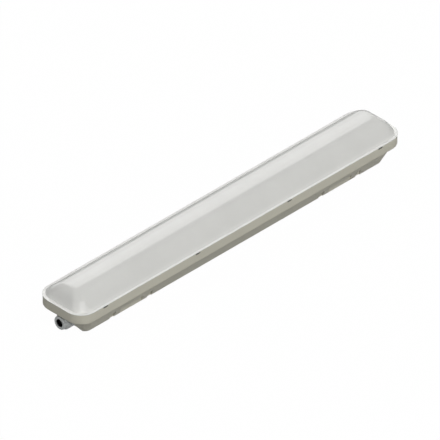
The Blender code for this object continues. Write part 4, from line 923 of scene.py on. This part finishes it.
def screw_unit(name, radius, reach):
    """Domed head with a cross recess, over a threaded shank. The head's underside is at height zero."""
    head, height, sides = HEAD_RADIUS * radius, HEAD_HEIGHT * radius, 28
    profile = [(0.0, height)]
    for step in range(1, 9):
        angle = math.pi / 2 * step / 8
        profile.append((head * math.sin(angle) ** 0.8, height * (0.35 + 0.65 * math.cos(angle) ** 0.8)))
    profile += [(head, 0.0), (radius, 0.0)]
    profile += thread(radius, -reach + radius * 0.3, 0.0, radius * 0.14, radius * 0.5)
    profile += [(radius * 0.6, -reach), (0.0, -reach)]
    bm = bmesh.new()
    rows = []
    for out, up in profile:
        turns = [math.tau * index / sides for index in range(sides if out else 1)]
        rows.append([bm.verts.new((out * math.cos(turn), out * math.sin(turn), up)) for turn in turns])
    for lower, upper in zip(rows, rows[1:]):
        for index in range(sides):
            after = (index + 1) % sides
            corners = [lower[index % len(lower)], lower[after % len(lower)], upper[after % len(upper)],
                       upper[index % len(upper)]]
            bm.faces.new(list(dict.fromkeys(corners)))
    unit = piece(name, bm)
    wide, thin, deep = head * 1.1, head * 0.26, height * 1.3
    cross = box("cross", [((0, 0, height), (wide, thin, deep))])
    other = box("cross_bar", [((0, 0, height), (thin, wide, deep))])
    carve(unit, [cross, other])
    return unit


def fasteners():
    """One screw per group, copied to each node's place. The driver's screws point up."""
    for group, radius in SCREWS.items():
        nodes = group_of(group)
        low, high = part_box(nodes[0])
        head = HEAD_HEIGHT * radius
        unit = screw_unit(group + "_unit", radius, high[2] - low[2] - head)
        for number, node in enumerate(nodes):
            low, high = span(node)
            one = link(bpy.data.objects.new(node + "_fine", unit.data.copy()))
            down = group == "driver_screw"
            seat = low.z + head if down else high.z - head
            turn = Matrix.Rotation(math.pi, 4, "X") if down else Matrix()
            spin = Matrix.Rotation(number * SCREW_SPIN, 4, "Z")
            place = Matrix.Translation(((low.x + high.x) / 2, (low.y + high.y) / 2, seat))
            one.data.transform(place @ turn @ spin)
            stand_for(one, node)
        bpy.data.objects.remove(unit)


# Boards, terminal block and leads

def led_board(node):
    """White board with its screw holes, LED packages, their phosphor windows and solder."""
    low, high = span(node)
    top = low.z + BOARD
    centre = (low + high) / 2
    size = high - low
    slab = (Vector((centre.x, centre.y, low.z + BOARD / 2)), (size.x, size.y, BOARD))
    board = box(node + "_fine", [slab], 0.0002, 2)
    holes = [place for place in screw_places("board_screw") if low.x < place[0] < high.x]
    carve(board, [upright("board_holes", holes, BOARD_HOLE, low.z - DRILL, top + DRILL)])
    bm = bmesh.new()
    bm.from_mesh(board.data)
    count = int((size.x - 2 * LED_MARGIN) / LED_PITCH)
    for number in range(count):
        x = centre.x + (number - (count - 1) / 2) * LED_PITCH
        for shift, part, sunk, material in LED_PARTS:
            spot = Matrix.Translation((x + shift, centre.y, top - sunk + part[2] / 2))
            made = bmesh.ops.create_cube(bm, size=1, matrix=spot @ Matrix.Diagonal((*part, 1)))
            for face in {face for vert in made["verts"] for face in vert.link_faces}:
                face.material_index = material
    bm.to_mesh(board.data)
    bm.free()
    return stand_for(board, node, PHOSPHOR, SOLDER)


def terminal_block():
    """Push-in block with grooves between its poles, funnelled entries, button wells and two sunk screws."""
    low, high = span("terminal_block")
    centre = (low + high) / 2
    block = box("block_fine", [(centre, high - low)], 0.0006, 3)
    wells = [(Vector((centre.x, y, high.z)), WELL_SIZE) for y in POLES]
    height, outside = low.z + ENTRY_HEIGHT, 0.003
    entries, funnels = [], []
    for y in POLES:
        for end, inward in ((low.x, 1), (high.x, -1)):
            start = (end - inward * outside, y, height)
            entries.append((start, (end + inward * ENTRY_DEPTH, y, height), ENTRY_RADIUS))
            funnels.append((start, (end + inward * FUNNEL_DEPTH, y, height), FUNNEL_RADIUS))
    groove = (*POLE_GROOVE, high.z - low.z + OVERRUN)
    corners = [(end, y) for y in (-POLE_PITCH / 2, POLE_PITCH / 2) for end in (low.x, high.x)]
    grooves = [(Vector((end, y, centre.z)), groove) for end, y in corners]
    screws = screw_places("terminal_screw")
    carve(block, [
        box("wells", wells),
        rods("entries", entries, 24),
        rods("funnels", funnels, 24),
        box("grooves", grooves),
        upright("shanks", screws, BLOCK_HOLE, low.z - DRILL, high.z + DRILL, 24),
        upright("counterbores", screws, COUNTERBORE, high.z - COUNTERBORE_DEPTH, high.z + DRILL),
    ])
    return stand_for(block, "terminal_block")


def smooth_path(anchors, reach, count):
    """Points on a curve through anchors, each a point and the way the lead runs there."""
    fine = []
    for (start, start_way), (end, end_way) in zip(anchors, anchors[1:]):
        pull = min(reach, (end - start).length / 2)
        controls = (start, start + start_way * pull, end - end_way * pull, end)
        for step in range(count):
            share = step / count
            rest = 1 - share
            weights = (rest ** 3, 3 * share * rest ** 2, 3 * share ** 2 * rest, share ** 3)
            fine.append(sum((point * weight for point, weight in zip(controls, weights)), Vector()))
    fine.append(anchors[-1][0])
    return fine


def tube(name, points, radius, node, sides=16):
    """An insulated lead, with its angle and its length as map coordinates."""
    bm = bmesh.new()
    layer = bm.loops.layers.uv.new("along")
    side = Y_AXIS
    rows = []
    for index, point in enumerate(points):
        way = (points[min(index + 1, len(points) - 1)] - points[max(index - 1, 0)]).normalized()
        side = (side - way * side.dot(way)).normalized()
        up = way.cross(side)
        row = []
        for number in range(sides):
            angle = math.tau * number / sides
            row.append(bm.verts.new(point + radius * (side * math.cos(angle) + up * math.sin(angle))))
        rows.append(row)
    for row, (lower, upper) in enumerate(zip(rows, rows[1:])):
        for number in range(sides):
            after = (number + 1) % sides
            face = bm.faces.new((lower[number], lower[after], upper[after], upper[number]))
            for loop, (around, along) in zip(face.loops, ((0, 0), (1, 0), (1, 1), (0, 1))):
                loop[layer].uv = ((number + around) / sides, (row + along) / 10)
    bm.faces.new(rows[0])
    bm.faces.new(rows[-1])
    return stand_for(piece(name, bm), node)


def mains_leads():
    """Live and neutral from the terminal block to the driver, earth to its tag on the tray."""
    block_low, block_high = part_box("terminal_block")
    case_low, case_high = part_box("driver_case")
    tag_low, tag_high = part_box("earth_tag")
    x, height = block_high[0] - ENTRY_DEPTH, block_low[2] + ENTRY_HEIGHT
    port_z = (case_low[2] + case_high[2]) / 2
    port_x = case_low[0] + PORT_DEPTH
    tag = Vector((tag_low[0] - GAP, middle("earth_tag").y, tag_high[2] - TAG_DROP))
    for node, y, end, stub in (
        ("lead_neutral", POLES[1], Vector((port_x, -PORT_Y, port_z)), True),
        ("lead_live", POLES[2], Vector((port_x, PORT_Y, port_z)), True),
        ("lead_earth", POLES[0], tag, False),
    ):
        start = Vector((x, y, height))
        anchors = [(start, X_AXIS), (start + X_AXIS * ENTRY_DEPTH, X_AXIS)]
        if stub:
            anchors.append((end - X_AXIS * PORT_DEPTH, X_AXIS))
        anchors.append((end, X_AXIS))
        tube(node + "_fine", smooth_path(anchors, MAINS_EASE, 24), MAINS_LEAD, node)


def led_leads():
    """Two leads from the driver, up through the grommet in the tray, to the feed connector."""
    case_low, case_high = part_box("driver_case")
    port_z = (case_low[2] + case_high[2]) / 2
    tray_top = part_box("gear_tray")[1][2]
    feed = middle("feed_connector")
    grommet = middle("tray_grommet")
    lip = 0.0010
    for node, side, port_y in (("lead_led_negative", 1, -PORT_Y), ("lead_led_positive", -1, PORT_Y)):
        start = Vector((case_high[0] - PORT_DEPTH, port_y, port_z))
        end = Vector((feed.x + side * FEED_SIDE, feed.y, feed.z))
        below = Vector((grommet.x + side * GROMMET_SIDE, grommet.y, tray_top - SHEET - lip))
        above = Vector((below.x, below.y, tray_top + lip))
        anchors = [(start, X_AXIS), (start + X_AXIS * PORT_DEPTH, X_AXIS), (below, Z_AXIS), (above, Z_AXIS),
                   (end + Y_AXIS * FEED_RUN, -Y_AXIS), (end, -Y_AXIS)]
        tube(node + "_fine", smooth_path(anchors, LED_EASE, 16), LED_LEAD, node, 12)


# Studio

def world_panel(tree, direction, corners, level):
    """Brightness of a far panel, given by the azimuth and elevation of its corners."""
    points = []
    for azimuth, elevation in corners:
        turn, rise = math.radians(azimuth), math.radians(elevation)
        flat = math.cos(rise)
        points.append(Vector((flat * math.cos(turn), flat * math.sin(turn), math.sin(rise))))
    centre = sum(points, Vector())
    total = level
    for first, second in zip(points, points[1:] + points[:1]):
        inward = first.cross(second).normalized()
        if inward.dot(centre) < 0:
            inward.negate()
        side = tree.nodes.new("ShaderNodeVectorMath")
        side.operation = "DOT_PRODUCT"
        tree.links.new(direction, side.inputs[0])
        side.inputs[1].default_value = inward
        inside = tree.nodes.new("ShaderNodeMapRange")
        inside.interpolation_type = "SMOOTHSTEP"
        inside.inputs["From Min"].default_value = -PANEL_EDGE
        inside.inputs["From Max"].default_value = PANEL_EDGE
        tree.links.new(side.outputs["Value"], inside.inputs["Value"])
        total = calculate(tree, "MULTIPLY", inside.outputs["Result"], total)
    return total


def floor():
    """Floor that shows white, also in mirrors, while it throws little light on the fixture."""
    bm = bmesh.new()
    bmesh.ops.create_grid(bm, x_segments=1, y_segments=1, size=FLOOR_SIZE)
    ground = piece("floor", bm)
    ground.location.z = FLOOR_Z
    build = Nodes("floor")
    build.fixed(Roughness=0.9, Specular_IOR_Level=0.1)
    glow = build.add("ShaderNodeEmission")
    glow.inputs["Strength"].default_value = 1.0
    path = build.add("ShaderNodeLightPath")
    shown = path.outputs["Is Camera Ray"]
    for kind in ("Is Glossy Ray", "Is Transmission Ray"):
        shown = build.calculate("MAXIMUM", shown, path.outputs[kind])
    build.colour(build.mix(shown, FLOOR_UNLIT, FLOOR_SHOWN))
    blend = build.add("ShaderNodeMixShader")
    build.wire(build.calculate("MULTIPLY", shown, FLOOR_GLOW), blend.inputs[0])
    build.wire(build.shader.outputs[0], blend.inputs[1])
    build.wire(glow.outputs[0], blend.inputs[2])
    build.wire(blend.outputs[0], build.tree.nodes["Material Output"].inputs["Surface"])
    ground.data.materials.append(build.material)


def cards():
    """Pale cards behind the fixture, seen only by mirrored rays and by rays that pass through."""
    build = Nodes("card")
    cloud = build.spread(build.noise(3, 2), 0.0, 1.0)
    build.colour(build.mix(cloud, (0.74, 0.74, 0.73), (0.77, 0.77, 0.76)))
    build.fixed(Roughness=1.0, Specular_IOR_Level=0.0)
    for name, place, size in CARDS:
        card = box(name, [(Vector(place), size)])
        card.data.materials.append(build.material)
        card.visible_camera = False
        card.visible_diffuse = False
        card.visible_shadow = False


def surroundings():
    """World: soft light from all round and the panels. It shows white behind the fixture."""
    world = bpy.data.worlds.new("studio")
    bpy.context.scene.world = world
    world.use_nodes = True
    tree = world.node_tree
    backdrop = tree.nodes["Background"]
    backdrop.inputs["Color"].default_value = (1, 1, 1, 1)
    direction = tree.nodes.new("ShaderNodeTexCoord").outputs["Generated"]
    total, *others = (world_panel(tree, direction, corners, level) for corners, level in PANELS)
    for part in (*others, AMBIENT):
        total = calculate(tree, "ADD", total, part)
    path = tree.nodes.new("ShaderNodeLightPath")
    strength = tree.nodes.new("ShaderNodeMix")
    tree.links.new(path.outputs["Is Camera Ray"], strength.inputs[0])
    tree.links.new(total, strength.inputs[2])
    strength.inputs[3].default_value = 1.0
    tree.links.new(strength.outputs[0], backdrop.inputs["Strength"])


def camera():
    data = bpy.data.cameras.new("camera")
    data.type = "PERSP"
    data.sensor_width = SENSOR
    data.lens = LENS
    eye = link(bpy.data.objects.new("camera", data))
    distance = FRAME_WIDTH * LENS / SENSOR
    eye.location = TARGET + AWAY * distance
    eye.rotation_euler = AWAY.to_track_quat("Z", "Y").to_euler()
    data.clip_start = distance - CLIP_BEFORE
    data.clip_end = distance + CLIP_BEHIND
    bpy.context.scene.camera = eye
    bpy.context.scene.view_settings.view_transform = "Standard"


dress_nodes()
cover()
housing()
gland()
fasteners()
for board_node in group_of("led_board"):
    led_board(board_node)
terminal_block()
mains_leads()
led_leads()
floor()
cards()
surroundings()
camera()
